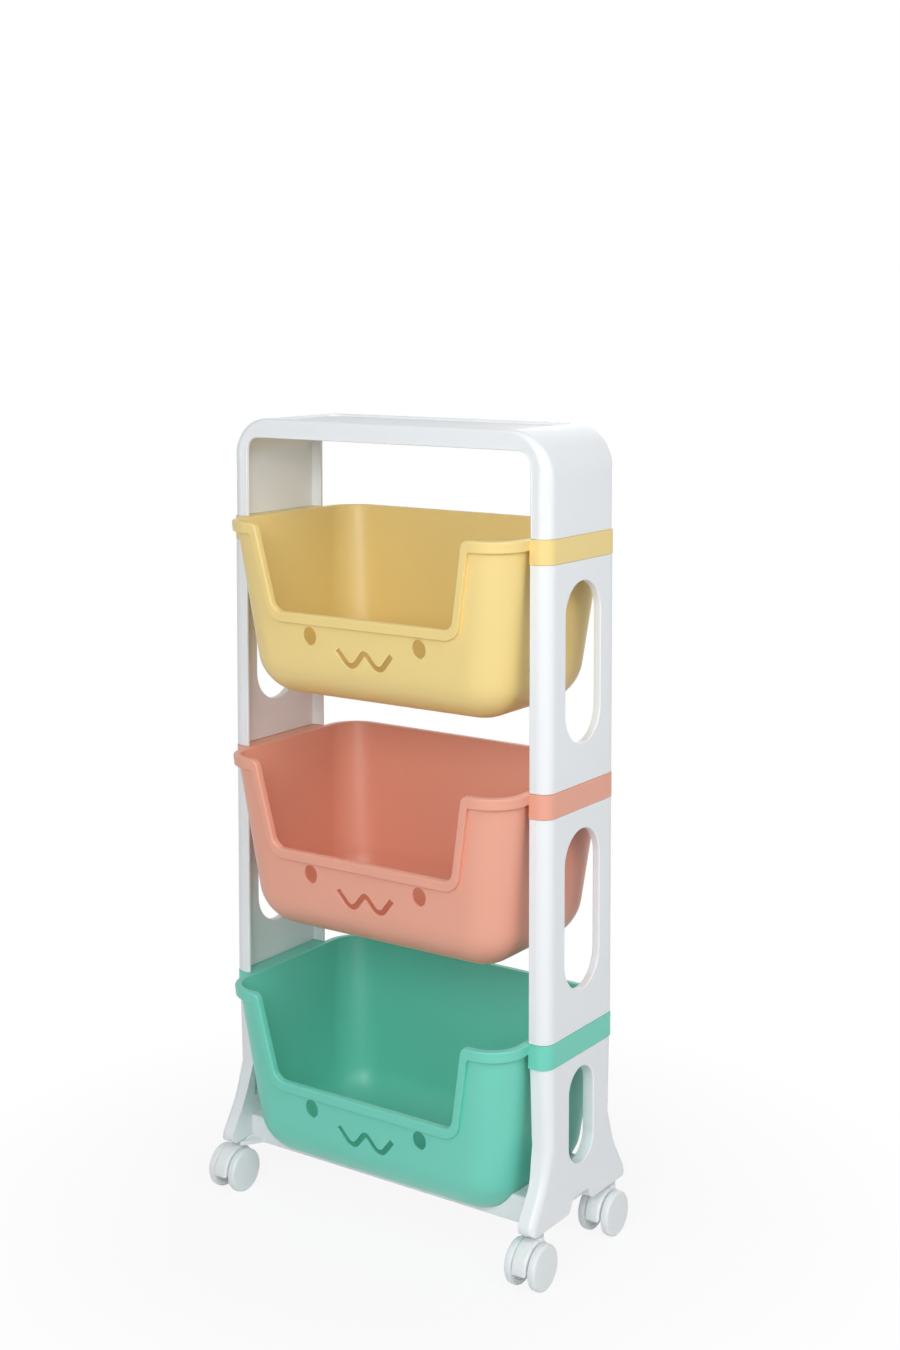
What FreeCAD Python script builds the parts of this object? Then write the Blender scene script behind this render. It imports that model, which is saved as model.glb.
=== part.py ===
import FreeCAD, Part
import math
import os
import Sketcher
from FreeCAD import Placement, Rotation, Vector

# Rolling storage organizer: two side frames and a top board carry three lift-height bins.
# Millimetres, +Z up, front of the organizer towards -Y, origin on the floor under the middle.

SIZES = [
    # side frames and top board
    ("handle_height", "109", "top of the board above the rim of the highest bin"),
    ("frame_width", "416", "outer face to outer face of the side panels"),
    ("frame_depth", "137", "front to back of the side panels"),
    ("side_thickness", "22.5", "side panel measured across, flanges included"),
    ("corner_radius", "14", "outer upright corners, seen from above"),
    ("web_thickness", "8.5", "outer skin of a side panel"),
    ("flange_thickness", "3.5", "front and back flanges of a side panel"),
    ("leg_rise", "190.5", "rim of the lowest bin above the soles of the feet"),
    ("tier_pitch", "258", "from one bin to the next"),
    ("band_height", "26", "end band of a bin, between two panels"),
    ("band_proud", "0.8", "end band stands this far out of the panels"),
    ("top_inset", "0.8", "top frame is this much inside the panels"),
    ("board_thickness", "21", "top board"),
    ("board_corner", "46", "outer corner between board and side"),
    ("board_inner_corner", "15", "inner corner between board and side"),
    ("board_edge_round", "4", "long top edges of the board"),
    ("tray_margin", "11", "rim left round the tray on the board"),
    ("tray_depth", "3", "tray sunk into the board"),
    ("tray_corner", "10", "plan corners of the tray"),
    ("window_width", "69", "handle window in a side panel"),
    ("window_head", "21.5", "panel left above the window"),
    ("window_sill", "42", "panel left under the window"),
    # joint tongues between panels and bin bands
    ("tongue_length", "12.5", "tongue at the end of a panel"),
    ("tongue_thickness", "4", "tongue across"),
    ("tongue_width", "80", "tongue front to back"),
    ("tongue_skin", "2.5", "panel skin outside the tongue"),
    ("slot_clearance", "0.2", "free space round a tongue or tenon"),
    # legs
    ("leg_top_inset", "2.5", "leg under the band, inside the front of the panel"),
    ("waist_inset", "4", "waist of a leg, inside its top"),
    ("waist_rise", "83.5", "height of the waist above the sole"),
    ("flare_rise", "45.5", "height above the sole where the flare becomes straight"),
    ("flare_start_reach", "10.5", "flare at that height, outside the waist"),
    ("flare_radius", "75", "hollow curve into the flare"),
    ("toe_reach", "39.2", "foot at the sole, outside the waist"),
    ("toe_radius", "8.5", "toe, seen from the side"),
    ("leg_edge_round", "8", "outer edges of a leg"),
    ("leg_web", "13.5", "outer skin of a leg"),
    ("leg_flange", "6", "front and back walls of the hollow inside a leg"),
    ("pocket_floor_rise", "43.5", "height above the sole where the foot becomes solid"),
    ("foot_inset", "4.3", "inner face of the foot set back from the leg"),
    ("foot_inset_rise", "95.5", "height above the sole where that set-back begins"),
    ("leg_window_width", "49", "window in a leg"),
    ("leg_window_rise", "47.5", "lower end of that window above the sole"),
    ("leg_window_head", "15", "leg left above its window"),
    ("arch_bottom_half", "23", "half width of the arch at the sole"),
    ("arch_top_half", "15.5", "half width of the arch at its top"),
    ("arch_height", "13.5", "height of the arch above the sole"),
    ("arch_corner", "6", "rounding in the arch"),
    # bins
    ("rim_reach", "1.5", "rim runs this far past the inner edges of the panels"),
    ("rim_half_depth", "117", "half depth over the rim"),
    ("rim_corner", "40", "plan corners of the rim"),
    ("rim_height", "12", "height of the rim"),
    ("rim_overhang", "5", "rim stands this far out of the wall"),
    ("rim_round", "1.5", "top outer edge of the rim"),
    ("floor_corner_spare", "3", "plan corners at the floor, more than the bottom edge"),
    ("wall_thickness", "3", "bin wall and floor"),
    ("wall_lean", "19", "the walls come in this much down to the floor"),
    ("bin_sink", "0.5", "underside of the lowest bin below the soles"),
    ("bottom_round", "42", "edge between wall and floor, outside"),
    ("dip_margin", "3.7", "flat wall beside the trim band at the rim"),
    ("dip_taper", "18.7", "each side of the dip comes in this much"),
    ("dip_depth", "94", "depth of the dip"),
    ("dip_corner", "13", "lower corners of the dip"),
    ("dip_shoulder", "8", "rounding between dip and rim"),
    ("trim_side", "9", "trim band beside the dip"),
    ("trim_bottom", "11.5", "trim band under the dip"),
    ("trim_corner", "20", "outer lower corners of the trim band"),
    ("eye_spacing", "143", "between the two eye holes"),
    ("eye_lowering", "12.8", "middle of an eye hole under the trim band"),
    ("eye_half_width", "8.2", "half width of an eye hole"),
    ("eye_half_height", "10", "half height of an eye hole"),
    ("mouth_half", "35.3", "half width between the tips of the wave"),
    ("mouth_run", "18", "middle peak to a trough, across"),
    ("mouth_rise", "21.5", "middle peak to a trough, up"),
    ("mouth_clearance", "0.84", "flat wall left under the troughs of the wave"),
    ("trough_round", "8.5", "centre line of the slot in the troughs"),
    ("peak_round", "4", "centre line of the slot at the peak"),
    ("mouth_stroke", "5.8", "width of the mouth slot"),
    # cradle under the lowest bin
    ("cradle_half_depth", "61", "half depth of the cradle"),
    ("cradle_lip", "24.5", "top of its raised ends above the underside of the bin"),
    ("cradle_floor", "4", "thickness of the cradle under the bin"),
    ("cradle_edge_round", "3", "top long edges of the raised ends"),
    ("cradle_gap", "0.4", "free space to the curved walls of the bin"),
    ("wing_thickness", "4.5", "flat wings beside the feet"),
    ("wing_toe_gap", "16.2", "wings at the feet, inside the toes"),
    ("wing_run", "17.8", "wings reach this far in from the feet"),
    ("tenon_length", "6", "tenon of the cradle in the foot"),
    ("tenon_height", "14", "height of a tenon"),
    ("tenon_rise", "9", "underside of a tenon above that of the cradle"),
    ("tenon_near_y", "32", "tenon, end nearer the middle"),
    ("tenon_margin", "5", "tenon, far end inside the edge of the cradle"),
    # casters
    ("stem_inset", "10", "swivel axis inside the outer face of the leg"),
    ("stem_setback", "28.7", "swivel axis behind the toe"),
    ("stem_radius", "4", "swivel pin"),
    ("bush_end_gap", "1", "top of the swivel pin under the top of its bush"),
    ("stem_end_gap", "7.4", "lower end of the swivel pin above the axle"),
    ("running_clearance", "0.08", "between a pin and the bore that turns on it"),
    ("bush_radius", "6", "bush in the foot"),
    ("bush_length", "30.5", "bush inside the foot"),
    ("bush_flange_radius", "8", "flange of the bush under the sole"),
    ("bush_flange_thickness", "4.5", "flange of the bush"),
    ("hood_gap", "0.9", "flange of the bush above the hood"),
    ("swivel_gap", "0.4", "between the bush and the turning housing"),
    ("boss_radius", "8", "boss of the housing round the pin"),
    ("trail", "9.5", "axle from the swivel axis"),
    ("wheel_radius", "23.6", "caster wheel"),
    ("wheel_width", "9", "tread of a caster wheel"),
    ("wheel_gap", "1", "between a wheel and the housing"),
    ("wheel_edge_round", "2.2", "edges of the tread"),
    ("wheel_dish_depth", "1.6", "recess in both faces of a wheel"),
    ("wheel_dish_outer", "18", "outer radius of that recess"),
    ("wheel_hub_radius", "8", "hub of a wheel"),
    ("wheel_cap", "2", "closed end of the hub outside the axle"),
    ("housing_width", "16.6", "caster housing between the wheels"),
    ("housing_radius", "25.5", "hood of the housing"),
    ("housing_base", "15", "lower edge of the hood above the floor"),
    ("axle_radius", "3", "wheel axle"),
    ("axle_end_round", "0.5", "ends of the axle"),
    ("stem_end_round", "1", "top end of the swivel pin"),
    # sizes worked out from the ones above
    ("half_width", "=frame_width/2", ""),
    ("half_depth", "=frame_depth/2", ""),
    ("axle_height", "=wheel_radius", ""),
    ("bush_flange_base", "=axle_height+housing_radius+hood_gap", ""),
    ("sole_height", "=bush_flange_base+bush_flange_thickness", "underside of a foot"),
    ("bush_top", "=sole_height+bush_length", ""),
    ("stem_top", "=bush_top-bush_end_gap", ""),
    ("stem_bottom", "=axle_height+stem_end_gap", ""),
    ("lowest_level", "=sole_height+leg_rise", "top of the lowest bin above the floor"),
    ("inner_x", "=half_width-side_thickness", "inner edge of the panel flanges"),
    ("web_x", "=half_width-web_thickness", "inner face of the panel skin"),
    ("flange_y", "=half_depth-flange_thickness", ""),
    ("panel_height", "=tier_pitch-band_height", ""),
    ("top_level", "=lowest_level+2*tier_pitch", "top of the highest bin"),
    ("overall_height", "=top_level+handle_height", "floor to top of the board"),
    ("leg_top", "=lowest_level-band_height", ""),
    ("leg_top_half", "=half_depth-leg_top_inset", ""),
    ("leg_waist_half", "=leg_top_half-waist_inset", ""),
    ("leg_waist_height", "=sole_height+waist_rise", ""),
    ("flare_height", "=sole_height+flare_rise", ""),
    ("flare_start_half", "=leg_waist_half+flare_start_reach", ""),
    ("toe_half", "=leg_waist_half+toe_reach", ""),
    ("leg_pocket_half", "=leg_waist_half-leg_flange", ""),
    ("leg_pocket_floor", "=sole_height+pocket_floor_rise", ""),
    ("foot_inset_top", "=sole_height+foot_inset_rise", ""),
    ("leg_window_bottom", "=sole_height+leg_window_rise", ""),
    ("leg_window_top", "=leg_top-leg_window_head", ""),
    ("arch_top", "=sole_height+arch_height", ""),
    ("stem_x", "=half_width-stem_inset", "swivel axis from the middle, across"),
    ("stem_y", "=toe_half-stem_setback", "swivel axis from the middle, front to back"),
    ("band_x", "=half_width+band_proud", ""),
    ("band_y", "=half_depth+band_proud", ""),
    ("band_corner", "=corner_radius+band_proud", ""),
    ("top_x", "=half_width-top_inset", ""),
    ("top_y", "=half_depth-top_inset", ""),
    ("top_web_x", "=top_x-web_thickness", ""),
    ("top_flange_y", "=top_y-flange_thickness", ""),
    ("board_underside", "=overall_height-board_thickness", ""),
    ("tray_x", "=top_x-board_corner", ""),
    ("tray_y", "=top_y-tray_margin", ""),
    ("tongue_x", "=half_width-tongue_skin", "outer face of a tongue"),
    ("tongue_inner_x", "=tongue_x-tongue_thickness", ""),
    ("tongue_y", "=tongue_width/2", ""),
    ("slot_x", "=tongue_x+slot_clearance", ""),
    ("slot_inner_x", "=tongue_inner_x-slot_clearance", ""),
    ("slot_y", "=tongue_y+slot_clearance", ""),
    ("window_half", "=window_width/2", ""),
    ("window_top", "=panel_height-window_head", ""),
    ("leg_window_half", "=leg_window_width/2", ""),
    ("foot_x", "=inner_x+foot_inset", "inner face of a foot"),
    ("leg_web_x", "=half_width-leg_web", ""),
    ("rim_half_width", "=inner_x+rim_reach", ""),
    ("bin_height", "=leg_rise+bin_sink", "rim to underside"),
    ("floor_corner", "=bottom_round+floor_corner_spare", ""),
    ("wall_half_width", "=rim_half_width-rim_overhang", ""),
    ("wall_half_depth", "=rim_half_depth-rim_overhang", ""),
    ("wall_corner", "=rim_corner-rim_overhang", ""),
    ("floor_half_width", "=wall_half_width-wall_lean", ""),
    ("floor_half_depth", "=wall_half_depth-wall_lean", ""),
    ("cavity_half_width", "=wall_half_width-wall_thickness", ""),
    ("cavity_half_depth", "=wall_half_depth-wall_thickness", ""),
    ("cavity_corner", "=wall_corner-wall_thickness", ""),
    ("cavity_floor_corner", "=floor_corner-wall_thickness", ""),
    ("cavity_depth", "=bin_height-wall_thickness", ""),
    ("cavity_floor_width", "=floor_half_width-wall_thickness", ""),
    ("cavity_floor_depth", "=floor_half_depth-wall_thickness", ""),
    ("cavity_round", "=bottom_round-wall_thickness", ""),
    ("seat_half_width", "=wall_half_width+cradle_gap", ""),
    ("seat_half_depth", "=wall_half_depth+cradle_gap", ""),
    ("seat_corner", "=wall_corner+cradle_gap", ""),
    ("seat_floor_corner", "=floor_corner+cradle_gap", ""),
    ("seat_floor_width", "=floor_half_width+cradle_gap", ""),
    ("seat_floor_depth", "=floor_half_depth+cradle_gap", ""),
    ("seat_level", "=lowest_level-bin_height", "underside of the lowest bin"),
    ("cradle_top", "=seat_level+cradle_lip", ""),
    ("cradle_base", "=seat_level-cradle_floor", ""),
    ("wing_half_depth", "=toe_half-wing_toe_gap", ""),
    ("wing_root_x", "=foot_x-wing_run", ""),
    ("tenon_base", "=cradle_base+tenon_rise", ""),
    ("tenon_far_y", "=cradle_half_depth-tenon_margin", ""),
    ("dip_top_half", "=rim_half_width-rim_corner-trim_side-dip_margin", ""),
    ("dip_bottom_half", "=dip_top_half-dip_taper", ""),
    ("trim_top_half", "=dip_top_half+trim_side", ""),
    ("trim_bottom_half", "=dip_bottom_half+trim_side-(dip_top_half-dip_bottom_half)"
     "*trim_bottom/dip_depth", ""),
    ("trim_depth", "=dip_depth+trim_bottom", ""),
    ("eye_x", "=eye_spacing/2", ""),
    ("eye_drop", "=trim_depth+eye_lowering", ""),
    ("mouth_slant", "=sqrt(mouth_run^2+mouth_rise^2)", "centre line from peak to trough"),
    ("half_stroke", "=mouth_stroke/2", ""),
    ("trough_outer", "=trough_round+half_stroke", ""),
    ("trough_inner", "=trough_round-half_stroke", ""),
    ("stroke_up", "=half_stroke*mouth_slant/mouth_run", "half the slot, measured upright"),
    ("trough_bow", "=trough_outer*(mouth_slant/mouth_run-1)", "the rounding cuts this off"),
    ("mouth_trough", "=bin_height-bottom_round-mouth_clearance-stroke_up+trough_bow", ""),
    ("mouth_peak", "=mouth_trough-mouth_rise", ""),
    ("mouth_tip", "=mouth_trough-mouth_rise*(mouth_half-mouth_run)/mouth_run", ""),
    ("tip_out", "=mouth_half+half_stroke*mouth_rise/mouth_slant", ""),
    ("tip_in", "=mouth_half-half_stroke*mouth_rise/mouth_slant", ""),
    ("tip_low", "=mouth_tip+half_stroke*mouth_run/mouth_slant", ""),
    ("tip_high", "=mouth_tip-half_stroke*mouth_run/mouth_slant", ""),
    ("trough_low", "=mouth_trough+stroke_up", ""),
    ("trough_high", "=mouth_trough-stroke_up", ""),
    ("peak_low", "=mouth_peak+stroke_up", ""),
    ("peak_high", "=mouth_peak-stroke_up", ""),
    ("peak_outer", "=peak_round+half_stroke", ""),
    ("peak_inner", "=peak_round-half_stroke", ""),
    ("boss_top", "=bush_flange_base-swivel_gap", ""),
    ("wheel_inner_x", "=housing_width/2+wheel_gap", "from the middle of the caster"),
    ("wheel_outer_x", "=wheel_inner_x+wheel_width", ""),
    ("axle_half", "=wheel_outer_x-wheel_cap-running_clearance", ""),
    ("axle_bore_end", "=wheel_outer_x-wheel_cap", ""),
]

doc = FreeCAD.newDocument("storage_organizer")
sheet = doc.addObject("Spreadsheet::Sheet", "sizes")
for row, (alias, content, note) in enumerate(SIZES, 1):
    sheet.set("A%d" % row, alias)
    sheet.set("B%d" % row, content)
    sheet.set("C%d" % row, note)
    sheet.setAlias("B%d" % row, alias)
doc.recompute()

FULL_TURN = 360
HALF_TURN = 180
SPARE = 1        # cutting shapes reach this far past the faces they open


def number(name):
    """Value of a size; a leading minus turns its sign; a plain number stays as it is."""
    if not isinstance(name, str):
        return float(name)
    if name.startswith("-"):
        return -number(name[1:])
    return float(sheet.get(name))


def bind(item, prop, name):
    """Ties a property to a size of the sheet."""
    item.setExpression(prop, ("-" if name.startswith("-") else "") + "sizes." + name.lstrip("-"))


def upright(turn=0, **at):
    """Placement at x, y, z turned about Z."""
    spot = Vector(*[number(at.get(axis, 0)) for axis in "xyz"])
    return Placement(spot, Rotation(Vector(0, 0, 1), turn))


# sketch planes: local x, y of the sketch lie along these directions
PLAN = Placement()
SIDE = Placement(Vector(), Rotation(Vector(0, 1, 0), Vector(0, 0, 1), Vector(1, 0, 0), "ZXY"))
FRONT = Placement(Vector(), Rotation(Vector(1, 0, 0), 90))


def pin_down(sketch, geo, pos, corner):
    """Holds a point of a sketch at the named distances from its origin."""
    for kind, name, axis in (("DistanceX", corner[0], -2), ("DistanceY", corner[1], -1)):
        if name == 0:
            sketch.addConstraint(Sketcher.Constraint("PointOnObject", geo, pos, axis))
            continue
        ends = (geo, pos, -1, 1) if name.startswith("-") else (-1, 1, geo, pos)
        index = sketch.addConstraint(Sketcher.Constraint(kind, *ends, abs(number(name))))
        bind(sketch, "Constraints[%d]" % index, name.lstrip("-"))


def outline(label, corners, plane=PLAN, lift=0):
    """Closed sketch through corners (x, y, rounding), listed anticlockwise."""
    sketch = doc.addObject("Sketcher::SketchObject", label)
    sketch.Placement = Placement(plane.multVec(Vector(0, 0, number(lift))), plane.Rotation)
    spots = [Vector(number(x), number(y), 0) for x, y, _ in corners]
    count = len(spots)
    trims = []
    for i, (_, _, rounding) in enumerate(corners):
        here = spots[i]
        back = (spots[i - 1] - here).normalize()
        ahead = (spots[(i + 1) % count] - here).normalize()
        if rounding is None:
            trims.append((here, here, None))
            continue
        radius, half = number(rounding), back.getAngle(ahead) / 2
        reach = radius / math.tan(half)
        middle = here + (back + ahead).normalize() * (radius / math.sin(half))
        trims.append((here + back * reach, here + ahead * reach, middle))
    lines = [sketch.addGeometry(Part.LineSegment(trims[i][1], trims[(i + 1) % count][0]))
             for i in range(count)]
    for i, corner in enumerate(corners):
        before, after = lines[i - 1], lines[i]
        start, end, middle = trims[i]
        if middle is None:
            sketch.addConstraint(Sketcher.Constraint("Coincident", before, 2, after, 1))
            pin_down(sketch, after, 1, corner)
            continue
        turn = (spots[i] - spots[i - 1]).cross(spots[(i + 1) % count] - spots[i]).z
        first, last = (start, end) if turn > 0 else (end, start)
        angles = [math.atan2(p.y - middle.y, p.x - middle.x) for p in (first, last)]
        if angles[1] < angles[0]:
            angles[1] += 2 * math.pi
        circle = Part.Circle(middle, Vector(0, 0, 1), number(corner[2]))
        arc = sketch.addGeometry(Part.ArcOfCircle(circle, *angles))
        point = sketch.addGeometry(Part.Point(spots[i]), True)
        pin_down(sketch, point, 1, corner)
        sketch.addConstraint(Sketcher.Constraint("PointOnObject", point, 1, before))
        sketch.addConstraint(Sketcher.Constraint("PointOnObject", point, 1, after))
        near, far = (1, 2) if turn > 0 else (2, 1)
        sketch.addConstraint(Sketcher.Constraint("Tangent", before, 2, arc, near))
        sketch.addConstraint(Sketcher.Constraint("Tangent", arc, far, after, 1))
        index = sketch.addConstraint(Sketcher.Constraint("Radius", arc, number(corner[2])))
        bind(sketch, "Constraints[%d]" % index, corner[2])
    return sketch


def mirrored(half):
    """Right-hand corners of an outline, bottom to top, plus their mirror images."""
    left = [("-" + x if isinstance(x, str) else x, y, r) for x, y, r in reversed(half)]
    return half + left


def block_outline(x, y, rounding, lift=0, label="plan"):
    """Rounded rectangle about the middle, seen from above."""
    return outline(label, mirrored([(x, "-" + y, rounding), (x, y, rounding)]), PLAN, lift)


def extrude(sketch, length, direction, both=False, back=0):
    """Solid from a closed sketch, along a direction."""
    solid = doc.addObject("Part::Extrusion", sketch.Label + "_solid")
    solid.Base = sketch
    solid.DirMode = "Custom"
    solid.Dir = direction
    solid.Solid = True
    solid.Symmetric = both
    solid.LengthRev = back
    if isinstance(length, str):
        bind(solid, "LengthFwd", length)
    else:
        solid.LengthFwd = length
    return solid


def box(label, x, y, z):
    """Box between named limits (low, high) on each axis."""
    solid = doc.addObject("Part::Box", label)
    for prop, axis, (low, high) in (("Length", "x", x), ("Width", "y", y), ("Height", "z", z)):
        terms = [t if isinstance(t, str) else None for t in (low, high)]
        texts = [("-sizes." + t[1:] if t.startswith("-") else "sizes." + t) if t else str(v)
                 for t, v in zip(terms, (low, high))]
        solid.setExpression("Placement.Base." + axis, texts[0])
        solid.setExpression(prop, "(%s) - (%s)" % (texts[1], texts[0]))
    return solid


def rod(label, radius, length, place, angle=FULL_TURN):
    """Cylinder along the local Z of its placement."""
    solid = doc.addObject("Part::Cylinder", label)
    bind(solid, "Radius", radius)
    if isinstance(length, str):
        solid.setExpression("Height", length)
    else:
        solid.Height = length
    solid.Angle = angle
    solid.Placement = place
    return solid


def join(label, items):
    solid = doc.addObject("Part::MultiFuse", label)
    solid.Shapes = items
    solid.Refine = True
    return solid


def cut(label, base, tools):
    solid = doc.addObject("Part::Cut", label)
    solid.Base = base
    solid.Tool = tools[0] if len(tools) == 1 else join(label + "_tools", tools)
    return solid


def soften(label, base, picks):
    """Rounds edges; picks maps an edge to its first and last radius, or to None."""
    doc.recompute()
    solid = doc.addObject("Part::Fillet", label)
    solid.Base = base
    chosen = [(i, picks(e)) for i, e in enumerate(base.Shape.Edges, 1)]
    solid.Edges = [(i, radii[0], radii[1]) for i, radii in chosen if radii]
    return solid


def along(edge, axis, coordinate, reach=0.01):
    """True where the whole edge lies at this coordinate of the axis."""
    bounds = edge.BoundBox
    low, high = getattr(bounds, axis + "Min"), getattr(bounds, axis + "Max")
    return abs(low - coordinate) < reach and abs(high - coordinate) < reach


def turned(edge, values):
    """Radii for an edge whose start has the larger height, or the other way round."""
    first, last = edge.valueAt(edge.FirstParameter), edge.valueAt(edge.LastParameter)
    high, low = values
    return (high, low) if first.z > last.z else (low, high)


NODES = {}


def finish_node(item, label, place):
    item.Label = label
    item.Placement = place
    NODES[label] = item


# ---------------------------------------------------------------- top frame
def build_top_frame():
    hoop = outline("hoop", [
        ("-top_x", "top_level", None), ("-inner_x", "top_level", None),
        ("-inner_x", "board_underside", "board_inner_corner"),
        ("inner_x", "board_underside", "board_inner_corner"),
        ("inner_x", "top_level", None), ("top_x", "top_level", None),
        ("top_x", "overall_height", "board_corner"),
        ("-top_x", "overall_height", "board_corner")], FRONT)
    solid = extrude(hoop, 2 * number("top_y"), Vector(0, -1, 0), both=True)
    solid.setExpression("LengthFwd", "2*sizes.top_y")
    sides, edge = number("corner_radius"), number("board_edge_round")
    bend = number("overall_height") - number("board_corner")

    def rounding(item):
        if not (along(item, "Y", -number("top_y")) or along(item, "Y", number("top_y"))):
            return None
        bounds = item.BoundBox
        if along(item, "Z", number("overall_height")):
            return edge, edge
        if max(abs(bounds.XMin), abs(bounds.XMax)) < number("top_x") - 0.01:
            return None
        if along(item, "X", number("top_x")) or along(item, "X", -number("top_x")):
            return sides, sides
        return turned(item, (edge, sides)) if bounds.ZMin > bend - 0.01 else None

    rounded = soften("top_rounded", solid, rounding)
    hollows = [box("top_hollow", lo_hi, ("-top_flange_y", "top_flange_y"),
                   ("top_level", "board_underside"))
               for lo_hi in (("inner_x", "top_web_x"), ("-top_web_x", "-inner_x"))]
    for hollow in hollows:
        hollow.setExpression("Height", "sizes.board_underside - sizes.board_inner_corner"
                                       " - sizes.top_level")
    tray = extrude(block_outline("tray_x", "tray_y", "tray_corner", "overall_height", "tray"),
                   "tray_depth", Vector(0, 0, -1))
    body = cut("top_body", rounded, hollows + [tray])
    tongues = [tongue("tongue_inner_x", "tongue_x", "top_level", -1),
               tongue("-tongue_x", "-tongue_inner_x", "top_level", -1)]
    finish_node(join("top_frame", [body] + tongues), "top_frame", Placement())


def tongue(low_x, high_x, level, way):
    """Tongue below (way -1) or above (way 1) a level, rooted in the panel above or below."""
    solid = box("tongue", (low_x, high_x), ("-tongue_y", "tongue_y"), (0, 1))
    reach = "sizes.tongue_length"
    base = "sizes." + level if isinstance(level, str) else "%g" % level
    solid.setExpression("Placement.Base.z", base + (" - " + reach if way < 0 else " - %g" % SPARE))
    solid.setExpression("Height", reach + " + %g" % SPARE)
    return solid


# ---------------------------------------------------------------- side panels
def build_side(label, turn, level):
    """Panel open towards the bins, with a handle window and a tongue at both ends."""
    section = outline("section", [
        ("inner_x", "-half_depth", None), ("half_width", "-half_depth", "corner_radius"),
        ("half_width", "half_depth", "corner_radius"), ("inner_x", "half_depth", None),
        ("inner_x", "flange_y", None), ("web_x", "flange_y", None),
        ("web_x", "-flange_y", None), ("inner_x", "-flange_y", None)])
    panel = extrude(section, "panel_height", Vector(0, 0, 1))
    window = window_hole("window_half", "window_sill", "window_top")
    opened = cut("opened", panel, [window])
    upper = tongue("tongue_inner_x", "tongue_x", "panel_height", 1)
    lower = tongue("tongue_inner_x", "tongue_x", 0, -1)
    finish_node(join(label, [opened, upper, lower]), label, upright(turn, z=level))


def window_hole(half, low, high):
    """Stadium through the skin of the panel on the +X side."""
    shape = doc.addObject("Sketcher::SketchObject", "window")
    shape.Placement = SIDE
    r, zlo, zhi = number(half), number(low), number(high)
    right = shape.addGeometry(Part.LineSegment(Vector(r, zlo + r, 0), Vector(r, zhi - r, 0)))
    left = shape.addGeometry(Part.LineSegment(Vector(-r, zhi - r, 0), Vector(-r, zlo + r, 0)))
    up, out = Vector(0, 0, 1), 2 * math.pi
    top = shape.addGeometry(Part.ArcOfCircle(Part.Circle(Vector(0, zhi - r, 0), up, r), 0, out / 2))
    foot = shape.addGeometry(Part.ArcOfCircle(Part.Circle(Vector(0, zlo + r, 0), up, r), out / 2, out))
    for rule in (("Tangent", right, 2, top, 1), ("Tangent", top, 2, left, 1),
                 ("Tangent", left, 2, foot, 1), ("Tangent", foot, 2, right, 1),
                 ("PointOnObject", top, 3, -2), ("Vertical", right)):
        shape.addConstraint(Sketcher.Constraint(*rule))
    for rule, text in (
            (("Radius", top, r), "sizes." + half),
            (("DistanceY", -1, 1, top, 3, zhi - r), "sizes.%s - sizes.%s" % (high, half)),
            (("DistanceY", -1, 1, foot, 3, zlo + r), "sizes.%s + sizes.%s" % (low, half))):
        index = shape.addConstraint(Sketcher.Constraint(*rule))
        shape.setExpression("Constraints[%d]" % index, text)
    return extrude(shape, "frame_width", Vector(1, 0, 0))


# ---------------------------------------------------------------- legs
def build_leg(label, turn):
    shape = outline("leg", [
        ("arch_bottom_half", "sole_height", "arch_corner"),
        ("toe_half", "sole_height", "toe_radius"),
        ("flare_start_half", "flare_height", "flare_radius"),
        ("leg_waist_half", "leg_waist_height", None),
        ("leg_top_half", "leg_top", None),
        ("-leg_top_half", "leg_top", None),
        ("-leg_waist_half", "leg_waist_height", None),
        ("-flare_start_half", "flare_height", "flare_radius"),
        ("-toe_half", "sole_height", "toe_radius"),
        ("-arch_bottom_half", "sole_height", "arch_corner"),
        ("-arch_top_half", "arch_top", "arch_corner"),
        ("arch_top_half", "arch_top", "arch_corner")], SIDE, "inner_x")
    solid = extrude(shape, "side_thickness", Vector(1, 0, 0))
    edge, least = number("leg_edge_round"), number("leg_waist_half") - SPARE

    def rounding(item):
        bounds = item.BoundBox
        if not along(item, "X", number("half_width")):
            return None
        return (edge, edge) if min(abs(bounds.YMin), abs(bounds.YMax)) > least else None

    rounded = soften("leg_rounded", solid, rounding)
    pocket = box("leg_pocket", ("inner_x", "leg_web_x"), ("-leg_pocket_half", "leg_pocket_half"),
                 ("leg_pocket_floor", "leg_top"))
    setback = outline("setback", [
        ("foot_x", 0, None), ("foot_x", "flare_height", None),
        ("inner_x", "foot_inset_top", None), ("inner_x", 0, None)], FRONT)
    slab = extrude(setback, "frame_width", Vector(0, -1, 0), both=True)
    window = window_hole("leg_window_half", "leg_window_bottom", "leg_window_top")
    tools = [pocket, slab, window]
    for side in ("-stem_y", "stem_y"):
        bore = rod("stem_bore", "bush_radius", "sizes.bush_top - sizes.sole_height",
                   upright(x="stem_x", y=side, z="sole_height"))
        bore.setExpression("Placement.Base.y", ("-" if side[0] == "-" else "") + "sizes.stem_y")
        tools.append(bore)
    for near, far in (("tenon_near_y", "tenon_far_y"), ("-tenon_far_y", "-tenon_near_y")):
        tools.append(tenon(near, far, "slot_clearance"))
    body = cut("leg_body", rounded, tools)
    top = tongue("tongue_inner_x", "tongue_x", "leg_top", 1)
    finish_node(join(label, [body, top]), label, upright(turn))


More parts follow.
